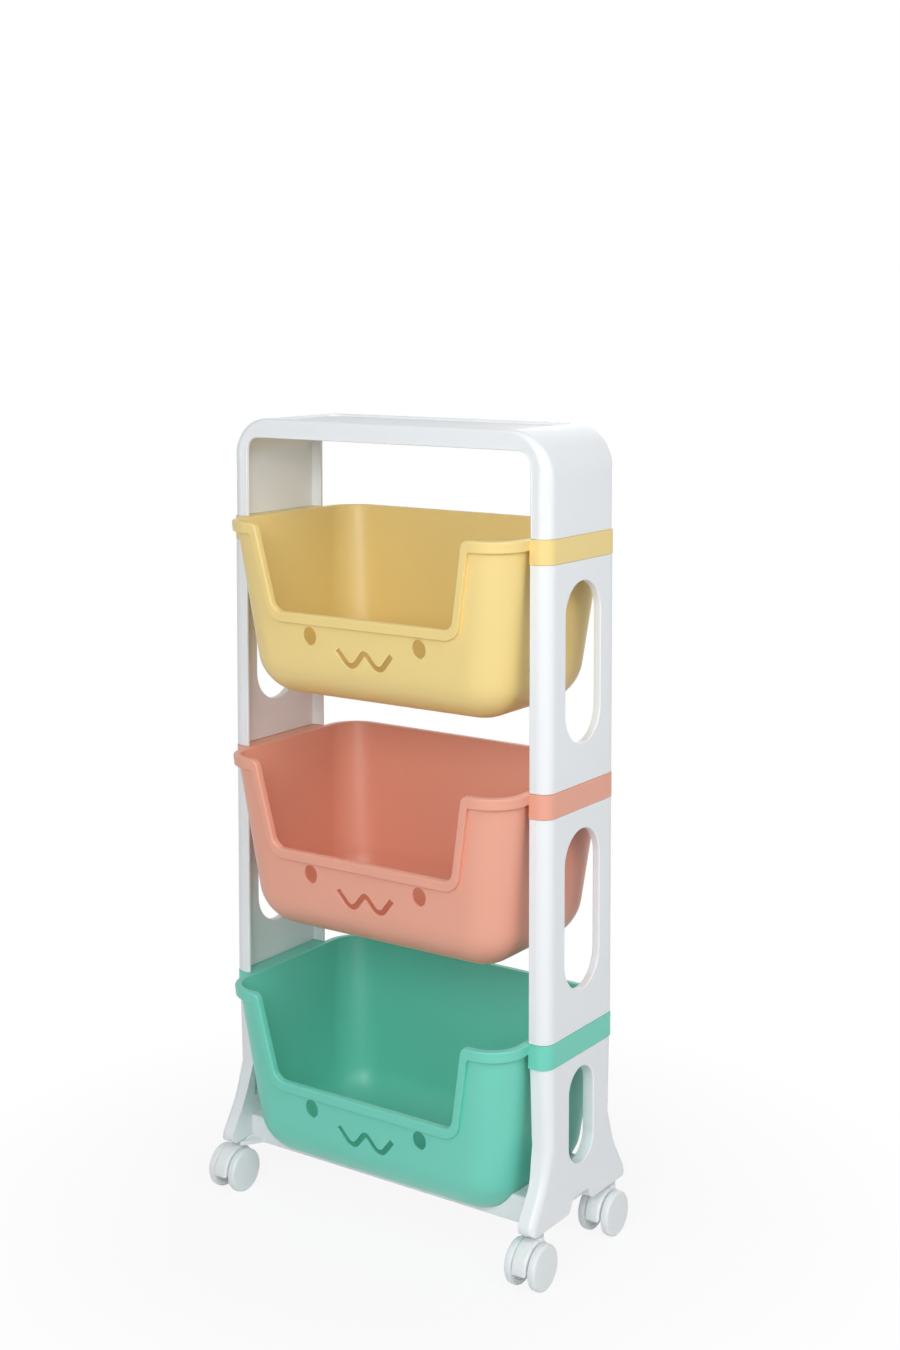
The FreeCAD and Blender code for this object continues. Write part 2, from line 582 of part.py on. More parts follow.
def tenon(near, far, extra=None):
    """Tenon of the cradle in the foot on the +X side, grown by a clearance for its mortise."""
    grow = "sizes." + extra if extra else "0"
    solid = box("tenon", ("foot_x", "half_width"), (near, far), ("tenon_base", "cradle_top"))
    text = {"near": near, "far": far}
    for key, name in text.items():
        text[key] = "-sizes." + name[1:] if name[0] == "-" else "sizes." + name
    solid.setExpression("Placement.Base.x", "sizes.foot_x - %g" % SPARE)
    solid.setExpression("Length", "sizes.tenon_length + %g + %s" % (SPARE, grow))
    solid.setExpression("Placement.Base.y", "%s - %s" % (text["near"], grow))
    solid.setExpression("Width", "%s - (%s) + 2*%s" % (text["far"], text["near"], grow))
    solid.setExpression("Placement.Base.z", "sizes.tenon_base - %s" % grow)
    solid.setExpression("Height", "sizes.tenon_height + 2*%s" % grow)
    return solid


# ---------------------------------------------------------------- bins
def tub(label, plan, floor, depth, rounding, level=0):
    """Tapered tub with a rounded floor edge: plan and floor are (half x, half y, corner)."""
    low = ("-" + depth)
    upper = block_outline(*plan, 0, label + "_upper")
    lower = block_outline(*floor, low, label + "_lower")
    lower.setExpression("Placement.Base.z", "-sizes." + depth)
    loft = doc.addObject("Part::Loft", label)
    loft.Sections = [upper, lower]
    loft.Solid = True
    loft.Ruled = True
    radius = number(rounding)
    return soften(label + "_rounded", loft,
                  lambda e: (radius, radius) if along(e, "Z", -number(depth)) else None)


def front_wall():
    """Sketch plane on the outside of the leaning front wall, its origin at the rim."""
    lean = math.degrees(math.atan2(number("wall_lean"), number("bin_height")))
    return Placement(Vector(0, -number("wall_half_depth"), 0), Rotation(Vector(1, 0, 0), 90 + lean))


def slanted(label, corners, out, inward):
    """Solid on the leaning front wall: from out in front of it to inward behind it."""
    sketch = outline(label, corners, front_wall())
    return extrude(sketch, out, sketch.Placement.Rotation.multVec(Vector(0, 0, 1)), back=inward)


def build_bin(label, level):
    outside = tub("outside", ("wall_half_width", "wall_half_depth", "wall_corner"),
                  ("floor_half_width", "floor_half_depth", "floor_corner"),
                  "bin_height", "bottom_round")
    inside = tub("inside", ("cavity_half_width", "cavity_half_depth", "cavity_corner"),
                 ("cavity_floor_width", "cavity_floor_depth", "cavity_floor_corner"),
                 "cavity_depth", "cavity_round")
    rim = extrude(block_outline("rim_half_width", "rim_half_depth", "rim_corner", 0, "rim"),
                  "rim_height", Vector(0, 0, -1))
    edge = number("rim_round")
    rim = soften("rim_rounded", rim, lambda e: (edge, edge) if along(e, "Z", 0) else None)
    band = extrude(block_outline("band_x", "band_y", "band_corner", 0, "band"),
                   "band_height", Vector(0, 0, -1))
    trim = slanted("trim", [
        ("trim_top_half", 0, None), ("-trim_top_half", 0, None),
        ("-trim_bottom_half", "-trim_depth", "trim_corner"),
        ("trim_bottom_half", "-trim_depth", "trim_corner")],
        number("rim_overhang"), number("wall_thickness"))
    body = join("bin_body", [outside, rim, band, trim])
    dip = slanted("dip", [
        ("rim_half_depth", "dip_shoulder", None), ("-rim_half_depth", "dip_shoulder", None),
        ("-dip_bottom_half", "-dip_depth", "dip_corner"),
        ("dip_bottom_half", "-dip_depth", "dip_corner")],
        number("rim_half_depth"), number("rim_half_depth") / 2)
    slots = [box("slot", limits, ("-slot_y", "slot_y"), ("-band_height", 0))
             for limits in (("slot_inner_x", "slot_x"), ("-slot_x", "-slot_inner_x"))]
    above = box("above", ("-band_x", "band_x"), ("-rim_half_depth", "rim_half_depth"),
                (0, "rim_height"))
    open_body = cut("open_body", body, [inside, dip, above] + slots)
    reach = number("rim_overhang") + number("wall_thickness")
    finish_node(cut(label, open_body, face(front_wall(), reach)), label, upright(z=level))


def face(wall, reach):
    """Two oval holes and a wave-shaped slot through the front wall."""
    normal = wall.Rotation.multVec(Vector(0, 0, 1))
    holes = []
    for way in (-1, 1):
        eye = doc.addObject("Part::Ellipse", "eye")
        bind(eye, "MajorRadius", "eye_half_height")
        bind(eye, "MinorRadius", "eye_half_width")
        at = Vector(way * number("eye_x"), -number("eye_drop"), -reach)
        eye.Placement = wall.multiply(Placement(at, Rotation(Vector(0, 0, 1), 90)))
        holes.append(extrude(eye, 2 * reach, normal))
    mouth = outline("mouth", [
        ("-tip_out", "-tip_low", None), ("-mouth_run", "-trough_low", "trough_outer"),
        (0, "-peak_low", "peak_inner"), ("mouth_run", "-trough_low", "trough_outer"),
        ("tip_out", "-tip_low", None), ("tip_in", "-tip_high", None),
        ("mouth_run", "-trough_high", "trough_inner"), (0, "-peak_high", "peak_outer"),
        ("-mouth_run", "-trough_high", "trough_inner"), ("-tip_in", "-tip_high", None)])
    mouth.Placement = wall.multiply(Placement(Vector(0, 0, -reach), Rotation()))
    holes.append(extrude(mouth, 2 * reach, normal))
    return holes


# ---------------------------------------------------------------- cradle
def build_cradle():
    ends = box("cradle_block", ("-foot_x", "foot_x"), ("-cradle_half_depth", "cradle_half_depth"),
               ("cradle_base", "cradle_top"))
    edge = number("cradle_edge_round")
    ends = soften("cradle_rounded", ends,
                  lambda e: (edge, edge) if along(e, "Z", number("cradle_top"))
                  and (along(e, "Y", -number("cradle_half_depth"))
                       or along(e, "Y", number("cradle_half_depth"))) else None)
    seat = tub("seat", ("seat_half_width", "seat_half_depth", "seat_corner"),
               ("seat_floor_width", "seat_floor_depth", "seat_floor_corner"), "bin_height",
               "bottom_round")
    bind(seat, "Placement.Base.z", "lowest_level")
    saddle = cut("saddle", ends, [seat])
    wings = [extrude(outline("wing", [
        (way + "wing_root_x", "-cradle_half_depth", None),
        (way + "foot_x", "-wing_half_depth", None), (way + "foot_x", "wing_half_depth", None),
        (way + "wing_root_x", "cradle_half_depth", None)], PLAN, "cradle_base"),
        "wing_thickness", Vector(0, 0, 1)) for way in ("", "-")]
    tenons = []
    for near, far in (("tenon_near_y", "tenon_far_y"), ("-tenon_far_y", "-tenon_near_y")):
        tenons.append(tenon(near, far))
        other = tenon(near, far)
        other.setExpression("Placement.Base.x", "-sizes.foot_x - sizes.tenon_length")
        tenons.append(other)
    finish_node(join("base_cradle", [saddle] + wings + tenons), "base_cradle", Placement())


# ---------------------------------------------------------------- casters
def build_caster(name, x, y):
    """One twin-wheel caster about its swivel axis; the axle lies in front of the axis."""
    spot = upright(x=x, y=y)
    axle_line = Rotation(Vector(0, 1, 0), 90)
    centre = Vector(0, -number("trail"), number("axle_height"))

    bush_body = join("bush_body", [
        rod("bush_sleeve", "bush_radius", "sizes.bush_top - sizes.bush_flange_base",
            upright(z="bush_flange_base")),
        rod("bush_flange", "bush_flange_radius", "sizes.sole_height - sizes.bush_flange_base",
            upright(z="bush_flange_base"))])
    bore = rod("bush_bore", "stem_radius", "sizes.stem_top - sizes.bush_flange_base",
               upright(z="bush_flange_base"))
    bore.setExpression("Radius", "sizes.stem_radius + sizes.running_clearance")
    bore.setExpression("Height", "sizes.stem_top - sizes.bush_flange_base"
                                 " + sizes.running_clearance")
    finish_node(cut("bush", bush_body, [bore]), name + "_bush", spot)

    stem = rod("stem", "stem_radius", "sizes.stem_top - sizes.stem_bottom",
               upright(z="stem_bottom"))
    end = number("stem_end_round")
    stem = soften("stem_rounded", stem,
                  lambda e: (end, end) if along(e, "Z", number("stem_top")) else None)
    finish_node(stem, name + "_stem", spot)

    hood = rod("hood", "housing_radius", "sizes.housing_width",
               Placement(centre - Vector(number("housing_width") / 2, 0, 0), axle_line))
    boss = rod("boss", "boss_radius", "sizes.boss_top - sizes.axle_height",
               upright(z="axle_height"))
    ground = box("open_foot", ("-frame_width", "frame_width"), ("-frame_depth", "frame_depth"),
                 ("-wheel_radius", "housing_base"))
    stem_hole = rod("stem_hole", "stem_radius", "sizes.boss_top - sizes.stem_bottom",
                    upright(z="stem_bottom"))
    axle_hole = rod("axle_hole", "axle_radius", "sizes.housing_width",
                    Placement(centre - Vector(number("housing_width") / 2, 0, 0), axle_line))
    finish_node(cut("housing", join("housing_body", [hood, boss]),
                    [ground, stem_hole, axle_hole]), name + "_housing", spot)

    axle = rod("axle", "axle_radius", "2*sizes.axle_half",
               Placement(centre - Vector(number("axle_half"), 0, 0), axle_line))
    tip = number("axle_end_round")
    axle = soften("axle_rounded", axle, lambda e: (tip, tip) if e.BoundBox.XLength < tip else None)
    finish_node(axle, name + "_axle", spot)

    for side, turn in (("left", HALF_TURN), ("right", 0)):
        wheel = build_wheel()
        hub = Placement(centre, Rotation(Vector(0, 0, 1), turn))
        finish_node(wheel, "%s_wheel_%s" % (name, side), spot.multiply(hub))


def build_wheel():
    """Wheel on the +X side of the axle middle, turned about the X axis."""
    wheel_shape = outline("wheel_section", [
        ("wheel_inner_x", "wheel_radius", "wheel_edge_round"),
        ("wheel_inner_x", 0, None), ("wheel_outer_x", 0, None),
        ("wheel_outer_x", "wheel_radius", "wheel_edge_round")])
    solid = doc.addObject("Part::Revolution", "wheel_solid")
    solid.Source = wheel_shape
    solid.Axis = Vector(1, 0, 0)
    solid.Angle = FULL_TURN
    solid.Solid = True
    along_x = Rotation(Vector(0, 1, 0), 90)
    tools = []
    for face_x, shift in (("wheel_inner_x", 0), ("wheel_outer_x", -number("wheel_dish_depth"))):
        start = Placement(Vector(number(face_x) + shift, 0, 0), along_x)
        ring = cut("dish", rod("dish_outer", "wheel_dish_outer", "sizes.wheel_dish_depth", start),
                   [rod("dish_hub", "wheel_hub_radius", "sizes.wheel_dish_depth", start)])
        tools.append(ring)
    bore = rod("wheel_bore", "axle_radius", "sizes.axle_bore_end - sizes.wheel_inner_x",
               Placement(Vector(number("wheel_inner_x"), 0, 0), along_x))
    bore.setExpression("Radius", "sizes.axle_radius + sizes.running_clearance")
    return cut("wheel", solid, tools + [bore])


build_top_frame()
for index, tier in enumerate(("middle", "upper")):
    level = number("lowest_level") + index * number("tier_pitch")
    build_side(tier + "_side_right", 0, level)
    build_side(tier + "_side_left", HALF_TURN, level)
build_leg("leg_right", 0)
build_leg("leg_left", HALF_TURN)
for index, tier in enumerate(("lower", "middle", "upper")):
    build_bin(tier + "_bin", number("lowest_level") + index * number("tier_pitch"))
build_cradle()
for front, y in (("front", "-stem_y"), ("rear", "stem_y")):
    for side, x in (("left", "-stem_x"), ("right", "stem_x")):
        build_caster("caster_%s_%s" % (front, side), x, y)

doc.recompute()
for item in doc.Objects:
    if "Invalid" in item.State or "Error" in item.State:
        raise RuntimeError("%s is not built: %s" % (item.Name, item.State))
os.makedirs("parts", exist_ok=True)
for label, item in NODES.items():
    shape = item.Shape
    if shape.isNull() or not shape.isValid():
        raise RuntimeError(label + " has no valid shape")
    shape.exportStep("parts/%s.step" % label)
    bounds = shape.BoundBox
    print("%-28s %8.0f mm3  x %7.1f %7.1f  y %7.1f %7.1f  z %7.1f %7.1f  solids %d" % (
        label, shape.Volume, bounds.XMin, bounds.XMax, bounds.YMin, bounds.YMax,
        bounds.ZMin, bounds.ZMax, len(shape.Solids)))
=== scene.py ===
import math

import bmesh
import bpy
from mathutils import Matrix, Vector


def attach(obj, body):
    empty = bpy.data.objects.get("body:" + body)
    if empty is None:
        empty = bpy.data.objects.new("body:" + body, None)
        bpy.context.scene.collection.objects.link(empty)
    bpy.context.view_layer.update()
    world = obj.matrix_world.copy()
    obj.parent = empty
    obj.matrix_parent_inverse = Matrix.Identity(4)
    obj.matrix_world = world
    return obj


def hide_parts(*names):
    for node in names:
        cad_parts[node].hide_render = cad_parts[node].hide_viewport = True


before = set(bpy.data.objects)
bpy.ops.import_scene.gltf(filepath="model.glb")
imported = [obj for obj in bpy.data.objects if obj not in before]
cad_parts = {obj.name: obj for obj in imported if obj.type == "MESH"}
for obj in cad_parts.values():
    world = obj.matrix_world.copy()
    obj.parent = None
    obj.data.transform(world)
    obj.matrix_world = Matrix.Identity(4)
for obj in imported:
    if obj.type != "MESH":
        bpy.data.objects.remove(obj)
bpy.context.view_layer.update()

# Sizes are in millimetres up to mesh_piece. Heights count from the floor, and the lowered
# fronts of the bins face -Y.
MM = 0.001
HALF_WIDTH, HALF_DEPTH = 208.0, 68.5                        # outer faces of the side panels
FLANGE_X, FLANGE_Y, SKIN_X = 185.5, 65.0, 199.5             # inner faces of flanges and skin
PITCH, BAND = 258.0, 26.0                                   # one tier, and the end band in it
LEVELS = {"lower": 245.0, "middle": 503.0, "upper": 761.0}  # rims of the bins
LEG_TOP, SOLE = 219.0, 54.5
BOARD_TOP, BOARD_UNDER = 870.0, 849.0
SEAM = 0.15             # what each piece stands back at a seam between two of them
SEAM_EDGE = 0.5         # rounding of the edges at a seam
SAME_SPOT = 1e-6
QUARTER, FULL = math.pi / 2, 2 * math.pi


# ------------------------------------------------------------ outlines and meshes
def rounded_path(corners, steps=8, support=0.0):
    """Closed line through (x, y, radius) corners; support adds points beside each rounding."""
    count, path = len(corners), []
    for i, (x, y, radius) in enumerate(corners):
        here = Vector((x, y))
        back = (Vector(corners[i - 1][:2]) - here).normalized()
        ahead = (Vector(corners[(i + 1) % count][:2]) - here).normalized()
        if radius <= 0:
            path.append(here)
            continue
        half = back.angle(ahead) / 2
        reach = radius / math.tan(half)
        start, end = here + back * reach, here + ahead * reach
        middle = here + (back + ahead).normalized() * radius / math.sin(half)
        sweep = math.pi - 2 * half
        turn = 1 if (here - start).cross(end - here) > 0 else -1
        if support:
            path.append(start + back * support)
        for k in range(steps + 1):
            a = turn * sweep * k / steps
            arm = start - middle
            path.append(middle + Vector((arm.x * math.cos(a) - arm.y * math.sin(a),
                                         arm.x * math.sin(a) + arm.y * math.cos(a))))
        if support:
            path.append(end + ahead * support)
    return path


def path_normals(path):
    """Outward unit normal at each point of an anticlockwise closed line."""
    normals, count = [], len(path)
    for i in range(count):
        before = (path[i] - path[i - 1]).normalized()
        after = (path[(i + 1) % count] - path[i]).normalized()
        mean = before + after
        mean = mean.normalized() if mean.length > SAME_SPOT else before
        normals.append(Vector((mean.y, -mean.x)))
    return normals


def grown(path, by):
    """Closed line moved outwards, or inwards where by is negative."""
    return [p + n * by for p, n in zip(path, path_normals(path))]


def circle(cx, cy, rx, ry, count):
    return [Vector((cx + rx * math.cos(FULL * k / count), cy + ry * math.sin(FULL * k / count)))
            for k in range(count)]


def mesh_piece(name, points, faces):
    """Object at the origin from points in millimetres."""
    mesh = bpy.data.meshes.new(name)
    mesh.from_pydata([Vector(p) * MM for p in points], [], faces)
    piece = bpy.data.objects.new(name, mesh)
    bpy.context.scene.collection.objects.link(piece)
    bm = bmesh.new()
    bm.from_mesh(mesh)
    bmesh.ops.remove_doubles(bm, verts=bm.verts, dist=SAME_SPOT)
    bmesh.ops.recalc_face_normals(bm, faces=bm.faces)
    bm.to_mesh(mesh)
    bm.free()
    return piece


def loft(rings, closed=False, caps=True):
    """Points and faces of a skin through rings that have the same number of points."""
    size = len(rings[0])
    points = [p for ring in rings for p in ring]
    faces = []
    last = len(rings) if closed else len(rings) - 1
    for r in range(last):
        a, b = r * size, (r + 1) % len(rings) * size
        faces += [(a + i, a + (i + 1) % size, b + (i + 1) % size, b + i) for i in range(size)]
    if caps and not closed:
        faces.append(tuple(reversed(range(size))))
        faces.append(tuple(range((len(rings) - 1) * size, len(rings) * size)))
    return points, faces


def merged(*parts):
    """Points and faces of several skins as one."""
    points, faces = [], []
    for some_points, some_faces in parts:
        shift = len(points)
        points += some_points
        faces += [tuple(i + shift for i in f) for f in some_faces]
    return points, faces


def upright_rings(path, levels):
    """Rings of a plan outline at (height, growth) pairs."""
    return [[(p.x, p.y, z) for p in grown(path, by)] for z, by in levels]


def sideways_rings(path, places):
    """Rings of a side outline (y, z) at (x, growth) pairs."""
    return [[(x, p.x, p.y) for p in grown(path, by)] for x, by in places]


def on_side(rings, side):
    """Rings of the right-hand piece, mirrored for the left one."""
    return rings if side > 0 else [[(-x, y, z) for x, y, z in ring] for ring in rings]


def apply_modifiers(piece):
    graph = bpy.context.evaluated_depsgraph_get()
    mesh = bpy.data.meshes.new_from_object(piece.evaluated_get(graph))
    piece.modifiers.clear()
    old = piece.data
    piece.data = mesh
    bpy.data.meshes.remove(old)


def take_away(piece, *cutters):
    for cutter in cutters:
        knife = piece.modifiers.new("cut", "BOOLEAN")
        knife.operation, knife.solver, knife.object = "DIFFERENCE", "EXACT", cutter
        apply_modifiers(piece)
        bpy.data.objects.remove(cutter)


def smooth(piece, angle=32):
    """Shade a piece smooth, except over edges sharper than an angle in degrees."""
    mesh = piece.data
    mesh.polygons.foreach_set("use_smooth", [True] * len(mesh.polygons))
    mesh.set_sharp_from_angle(angle=math.radians(angle))
    evener = piece.modifiers.new("even", "WEIGHTED_NORMAL")
    evener.keep_sharp = True
    apply_modifiers(piece)


def soft_edge(radius, steps=3):
    """(run, growth) pairs of a rounded edge, from the flat face to the side."""
    return [(radius * (1 - math.cos(QUARTER * k / steps)),
             radius * (math.sin(QUARTER * k / steps) - 1)) for k in range(steps + 1)]


WINDOW_RIM, RIM_ANGLES = 1.3, (0.35, 0.75, 1.15, 1.5)   # rounding of the rims, in radians
WINDOW_STEPS, NEARLY_ROUND = 14, 0.999                  # ends of the stadium
PAST_SKIN, PAST_GROWTH = 4, 2                           # how the cutter leaves the skin


def window_cutter(name, half, low, high, inner, outer, side):
    """Stadium through a skin between |x| = inner and outer, its rims rounded."""
    round_by, rim = half * NEARLY_ROUND, WINDOW_RIM
    path = rounded_path([(half, low, round_by), (half, high, round_by),
                         (-half, high, round_by), (-half, low, round_by)], WINDOW_STEPS)
    bevel = [(rim * math.sin(a), rim * (1 - math.cos(a))) for a in RIM_ANGLES]
    places = [(inner - PAST_SKIN, rim + PAST_GROWTH)]
    places += [(inner + rim - run, out) for run, out in reversed(bevel)]
    places += [(inner + rim, 0), (outer - rim, 0)]
    places += [(outer - rim + run, out) for run, out in bevel]
    places += [(outer + PAST_SKIN, rim + PAST_GROWTH)]
    return mesh_piece(name, *loft(on_side(sideways_rings(path, places), side)))


# ------------------------------------------------------------ finishes
FLOW, SHEEN, SWELL = (7.0, 3.0), (38.0, 4.0), (55.0, 1.0)   # noise scale and detail
GRAIN_DETAIL = 2.0
SHEEN_LESS, SHEEN_MORE = 0.06, 0.08
SWELL_SHARE, RELIEF, RELIEF_DEPTH = 1.6, 0.16, 0.0004
COAT_ROUGHNESS = 0.36


def moulded(name, colour, shade=0.035, rough=0.34, grain=900.0, coat=0.12):
    """Moulded plastic: faint flow clouding, uneven sheen and a fine satin grain."""
    material = bpy.data.materials.new(name)
    material.use_nodes = True
    nodes, links = material.node_tree.nodes, material.node_tree.links
    surface = nodes["Principled BSDF"]
    place = nodes.new("ShaderNodeTexCoord")

    def noise(scale, detail):
        node = nodes.new("ShaderNodeTexNoise")
        node.inputs["Scale"].default_value = scale
        node.inputs["Detail"].default_value = detail
        links.new(place.outputs["Object"], node.inputs["Vector"])
        return node

    flow = noise(*FLOW)
    mix = nodes.new("ShaderNodeMix")
    mix.data_type = "RGBA"
    links.new(flow.outputs["Fac"], mix.inputs["Factor"])
    mix.inputs["A"].default_value = tuple(c * (1 - shade) for c in colour) + (1,)
    mix.inputs["B"].default_value = tuple(min(1, c * (1 + shade)) for c in colour) + (1,)
    links.new(mix.outputs["Result"], surface.inputs["Base Color"])
    sheen = noise(*SHEEN)
    spread = nodes.new("ShaderNodeMapRange")
    spread.inputs["To Min"].default_value = rough - SHEEN_LESS
    spread.inputs["To Max"].default_value = rough + SHEEN_MORE
    links.new(sheen.outputs["Fac"], spread.inputs["Value"])
    links.new(spread.outputs["Result"], surface.inputs["Roughness"])
    fine = noise(grain, GRAIN_DETAIL)
    swell = noise(*SWELL)
    total = nodes.new("ShaderNodeMath")
    total.operation = "MULTIPLY_ADD"
    links.new(swell.outputs["Fac"], total.inputs[0])
    total.inputs[1].default_value = SWELL_SHARE
    links.new(fine.outputs["Fac"], total.inputs[2])
    relief = nodes.new("ShaderNodeBump")
    relief.inputs["Strength"].default_value = RELIEF
    relief.inputs["Distance"].default_value = RELIEF_DEPTH
    links.new(total.outputs[0], relief.inputs["Height"])
    links.new(relief.outputs["Normal"], surface.inputs["Normal"])
    surface.inputs["Coat Weight"].default_value = coat
    surface.inputs["Coat Roughness"].default_value = COAT_ROUGHNESS
    return material


def plated(name, colour):
    """Zinc-plated steel with a cloudy, fine-grained surface."""
    material = moulded(name, colour, shade=0.08, rough=0.3, grain=1500.0, coat=0.0)
    material.node_tree.nodes["Principled BSDF"].inputs["Metallic"].default_value = 1.0
    return material


def srgb(r, g, b):
    """Linear colour from 0 to 255 display values."""
    return tuple(((c / 255 + 0.055) / 1.055) ** 2.4 if c > 10 else c / 255 / 12.92
                 for c in (r, g, b))


WHITE = moulded("white moulded shell", srgb(239, 243, 246), shade=0.012, rough=0.36)
YELLOW = moulded("pastel yellow bin", srgb(242, 216, 142), rough=0.42, coat=0.2)
CORAL = moulded("pastel coral bin", srgb(236, 167, 144), rough=0.42, coat=0.2)
MINT = moulded("mint green bin", srgb(112, 213, 192), rough=0.42, coat=0.2)
CASTER = moulded("caster housing", srgb(238, 243, 244), shade=0.015, rough=0.36)
TREAD = moulded("caster wheel", srgb(236, 241, 243), shade=0.02, rough=0.4)
BUSH = moulded("pale bush", srgb(214, 216, 218), shade=0.03, rough=0.45)
STEEL = plated("plated pin", srgb(180, 182, 186))


def finish_piece(piece, material, body, node):
    """Dress a piece that rides on a body and takes a CAD node's place."""
    piece.data.materials.clear()
    piece.data.materials.append(material)
    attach(piece, body)
    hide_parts(node)


# ------------------------------------------------------------ bins
RIM_HALF_X, RIM_HALF_Y = 182.0, 112.0       # outside of the wall at the rim
WALL_CORNER, FLOOR_CORNER = 35.0, 45.0      # upright corners, at the rim and at the floor
BIN_DEEP, WALL, FLOOR_ROUND = 191.0, 3.0, 42.0
LEAN = 19.0 / BIN_DEEP                      # how far the walls lean in, for each mm down
WALL_START = 1.5                            # the wall's top edge hides inside the rim roll
WALL_STEPS, FLOOR_STEPS, CORNER_STEPS, CORNER_SUPPORT = 10, 12, 12, 4.0

DIP_TOP, DIP_FOOT, DIP_DEEP = 134.3, 115.6, 94.0    # the lowered front: half widths and depth
TRIM_SIDE, TRIM_FOOT = 9.0, 11.5                    # width of the trim band round it
DIP_ROUNDS, TRIM_ROUNDS = (8, 13, 13, 8), (4, 20, 20, 4)
DIP_STEPS, DIP_SUPPORT, DIP_CLOSE = 9, 0.6, 50
UNDER_TRIM, CUT_ABOVE, CUT_ROUND, CUT_IN, CUT_OUT = 0.45, 8, 15, 30, 12     # the wall's own dip
SIDE_STEPS, BEND_STEPS = 14, 14                     # places round the rim, a side and a corner

LIP_OUT, LIP_TALL = 5.0, 12.0                       # how far the rim stands out, and its height
LIP_ROUND, LIP_INNER_ROUND, LIP_LOW_ROUND = 2.2, 0.9, 1.3
LIP_PROUD = 0.15                                    # its inner face before the wall's
LIP_TURN = (0, 0.25, 0.5, 0.75, 1.0)

BAND_PROUD, BAND_CORNER, WEB_BACK, WEB_X = 0.4, 14.4, 12, 179.3
BAND_STEPS, BAND_SUPPORT = 10, 1.0

EYE_X, EYE_DEPTH, EYE_HALF_X, EYE_HALF_Z, EYE_STEPS = 71.5, 118.3, 8.2, 10.0, 36
MOUTH_RUN, MOUTH_RISE, MOUTH_HALF, MOUTH_STROKE, MOUTH_PEAK = 18.0, 21.5, 35.3, 2.9, 128.5
TROUGH_UNDER, TROUGH_OVER, PEAK_UNDER, PEAK_OVER = 11.4, 5.6, 1.1, 6.9
FACE_IN, FACE_OUT, FACE_FLARE = 9, 3, 0.9           # how the cutters of the face pass the wall
FLARE_BACK, FLARE_MIDDLE, FLARE_MIDDLE_GROWTH = 0.8, 0.4, 0.25


def tub_ring(depth, inset):
    """Plan ring of the tub wall at a depth under the rim."""
    share = depth / BIN_DEEP
    half_x, half_y = RIM_HALF_X - LEAN * depth - inset, RIM_HALF_Y - LEAN * depth - inset
    corner = WALL_CORNER + (FLOOR_CORNER - WALL_CORNER) * share - inset
    corners = [(half_x, -half_y, corner), (half_x, half_y, corner),
               (-half_x, half_y, corner), (-half_x, -half_y, corner)]
    return [(p.x, p.y, -depth) for p in rounded_path(corners, CORNER_STEPS, CORNER_SUPPORT)]


def tub_skin(inset, deep, fillet, top=WALL_START):
    """Rings from the rim down a wall and round the floor's edge."""
    straight = deep - fillet
    rings = [tub_ring(top + (straight - top) * k / WALL_STEPS, inset)
             for k in range(WALL_STEPS + 1)]
    for k in range(1, FLOOR_STEPS + 1):
        a = QUARTER * k / FLOOR_STEPS
        depth = straight + fillet * math.sin(a)
        base = [Vector(q[:2]) for q in tub_ring(depth, inset)]
        rings.append([(p.x, p.y, -depth) for p in grown(base, -fillet * (1 - math.cos(a)))])
    return rings


def shell_parts():
    """Tub of the bin, between its outer and its inner skin."""
    outside = tub_skin(0.0, BIN_DEEP, FLOOR_ROUND)
    inside = tub_skin(WALL, BIN_DEEP - WALL, FLOOR_ROUND - WALL)
    return loft(list(reversed(outside)) + inside)


def lean_point(x, depth, out):
    """Point on the leaning front wall."""
    return (x, -RIM_HALF_Y + LEAN * depth - out, -depth)


def front_cutter(name, path, near, far, flare=0.0):
    """Prism across the front wall through a closed path (x, -depth); flare rounds its rims."""
    steps = [(-near, 0.0), (far, 0.0)]
    if flare:
        back = flare * FLARE_BACK
        steps = [(-near, flare), (-WALL, back), (-WALL + back, 0.0), (-flare, 0.0),
                 (-flare * FLARE_MIDDLE, flare * FLARE_MIDDLE_GROWTH), (0.0, flare), (far, flare)]
    rings = [[lean_point(p.x, -p.y, out) for p in grown(path, by)] for out, by in steps]
    return mesh_piece(name, *loft(rings))


def plan_line():
    """Points and outward normals round the rim's wall line, from the front's right end on."""
    rows = []
    hx, hy, r = RIM_HALF_X, RIM_HALF_Y, WALL_CORNER

    def straight(a, b, n):
        for k in range(SIDE_STEPS):
            rows.append((Vector(a).lerp(Vector(b), k / SIDE_STEPS), Vector(n)))

    def bend(cx, cy, start):
        for k in range(BEND_STEPS):
            a = start + QUARTER * k / BEND_STEPS
            n = Vector((math.cos(a), math.sin(a)))
            rows.append((Vector((cx, cy)) + n * r, n))

    bend(hx - r, -hy + r, -QUARTER)
    straight((hx, -hy + r), (hx, hy - r), (1, 0))
    bend(hx - r, hy - r, 0)
    straight((hx - r, hy), (-hx + r, hy), (0, 1))
    bend(-hx + r, hy - r, QUARTER)
    straight((-hx, hy - r), (-hx, -hy + r), (-1, 0))
    bend(-hx + r, -hy + r, math.pi)
    rows.append((Vector((-hx + r, -hy)), Vector((0, -1))))
    return rows


def dip_line(corners, radii):
    """Open line (x, depth) through the dip, left to right, with the given roundings."""
    far, level = RIM_HALF_X - WALL_CORNER, -corners[0][1]
    dip = [(x, -d, r) for (x, d), r in zip(corners, radii)]
    closing = [(far, level, 0), (far, DIP_CLOSE, 0), (-far, DIP_CLOSE, 0)]
    path = rounded_path([(-far, level, 0)] + dip + closing, DIP_STEPS, DIP_SUPPORT)
    return [(p.x, -p.y) for p in path[1:-len(closing)]]


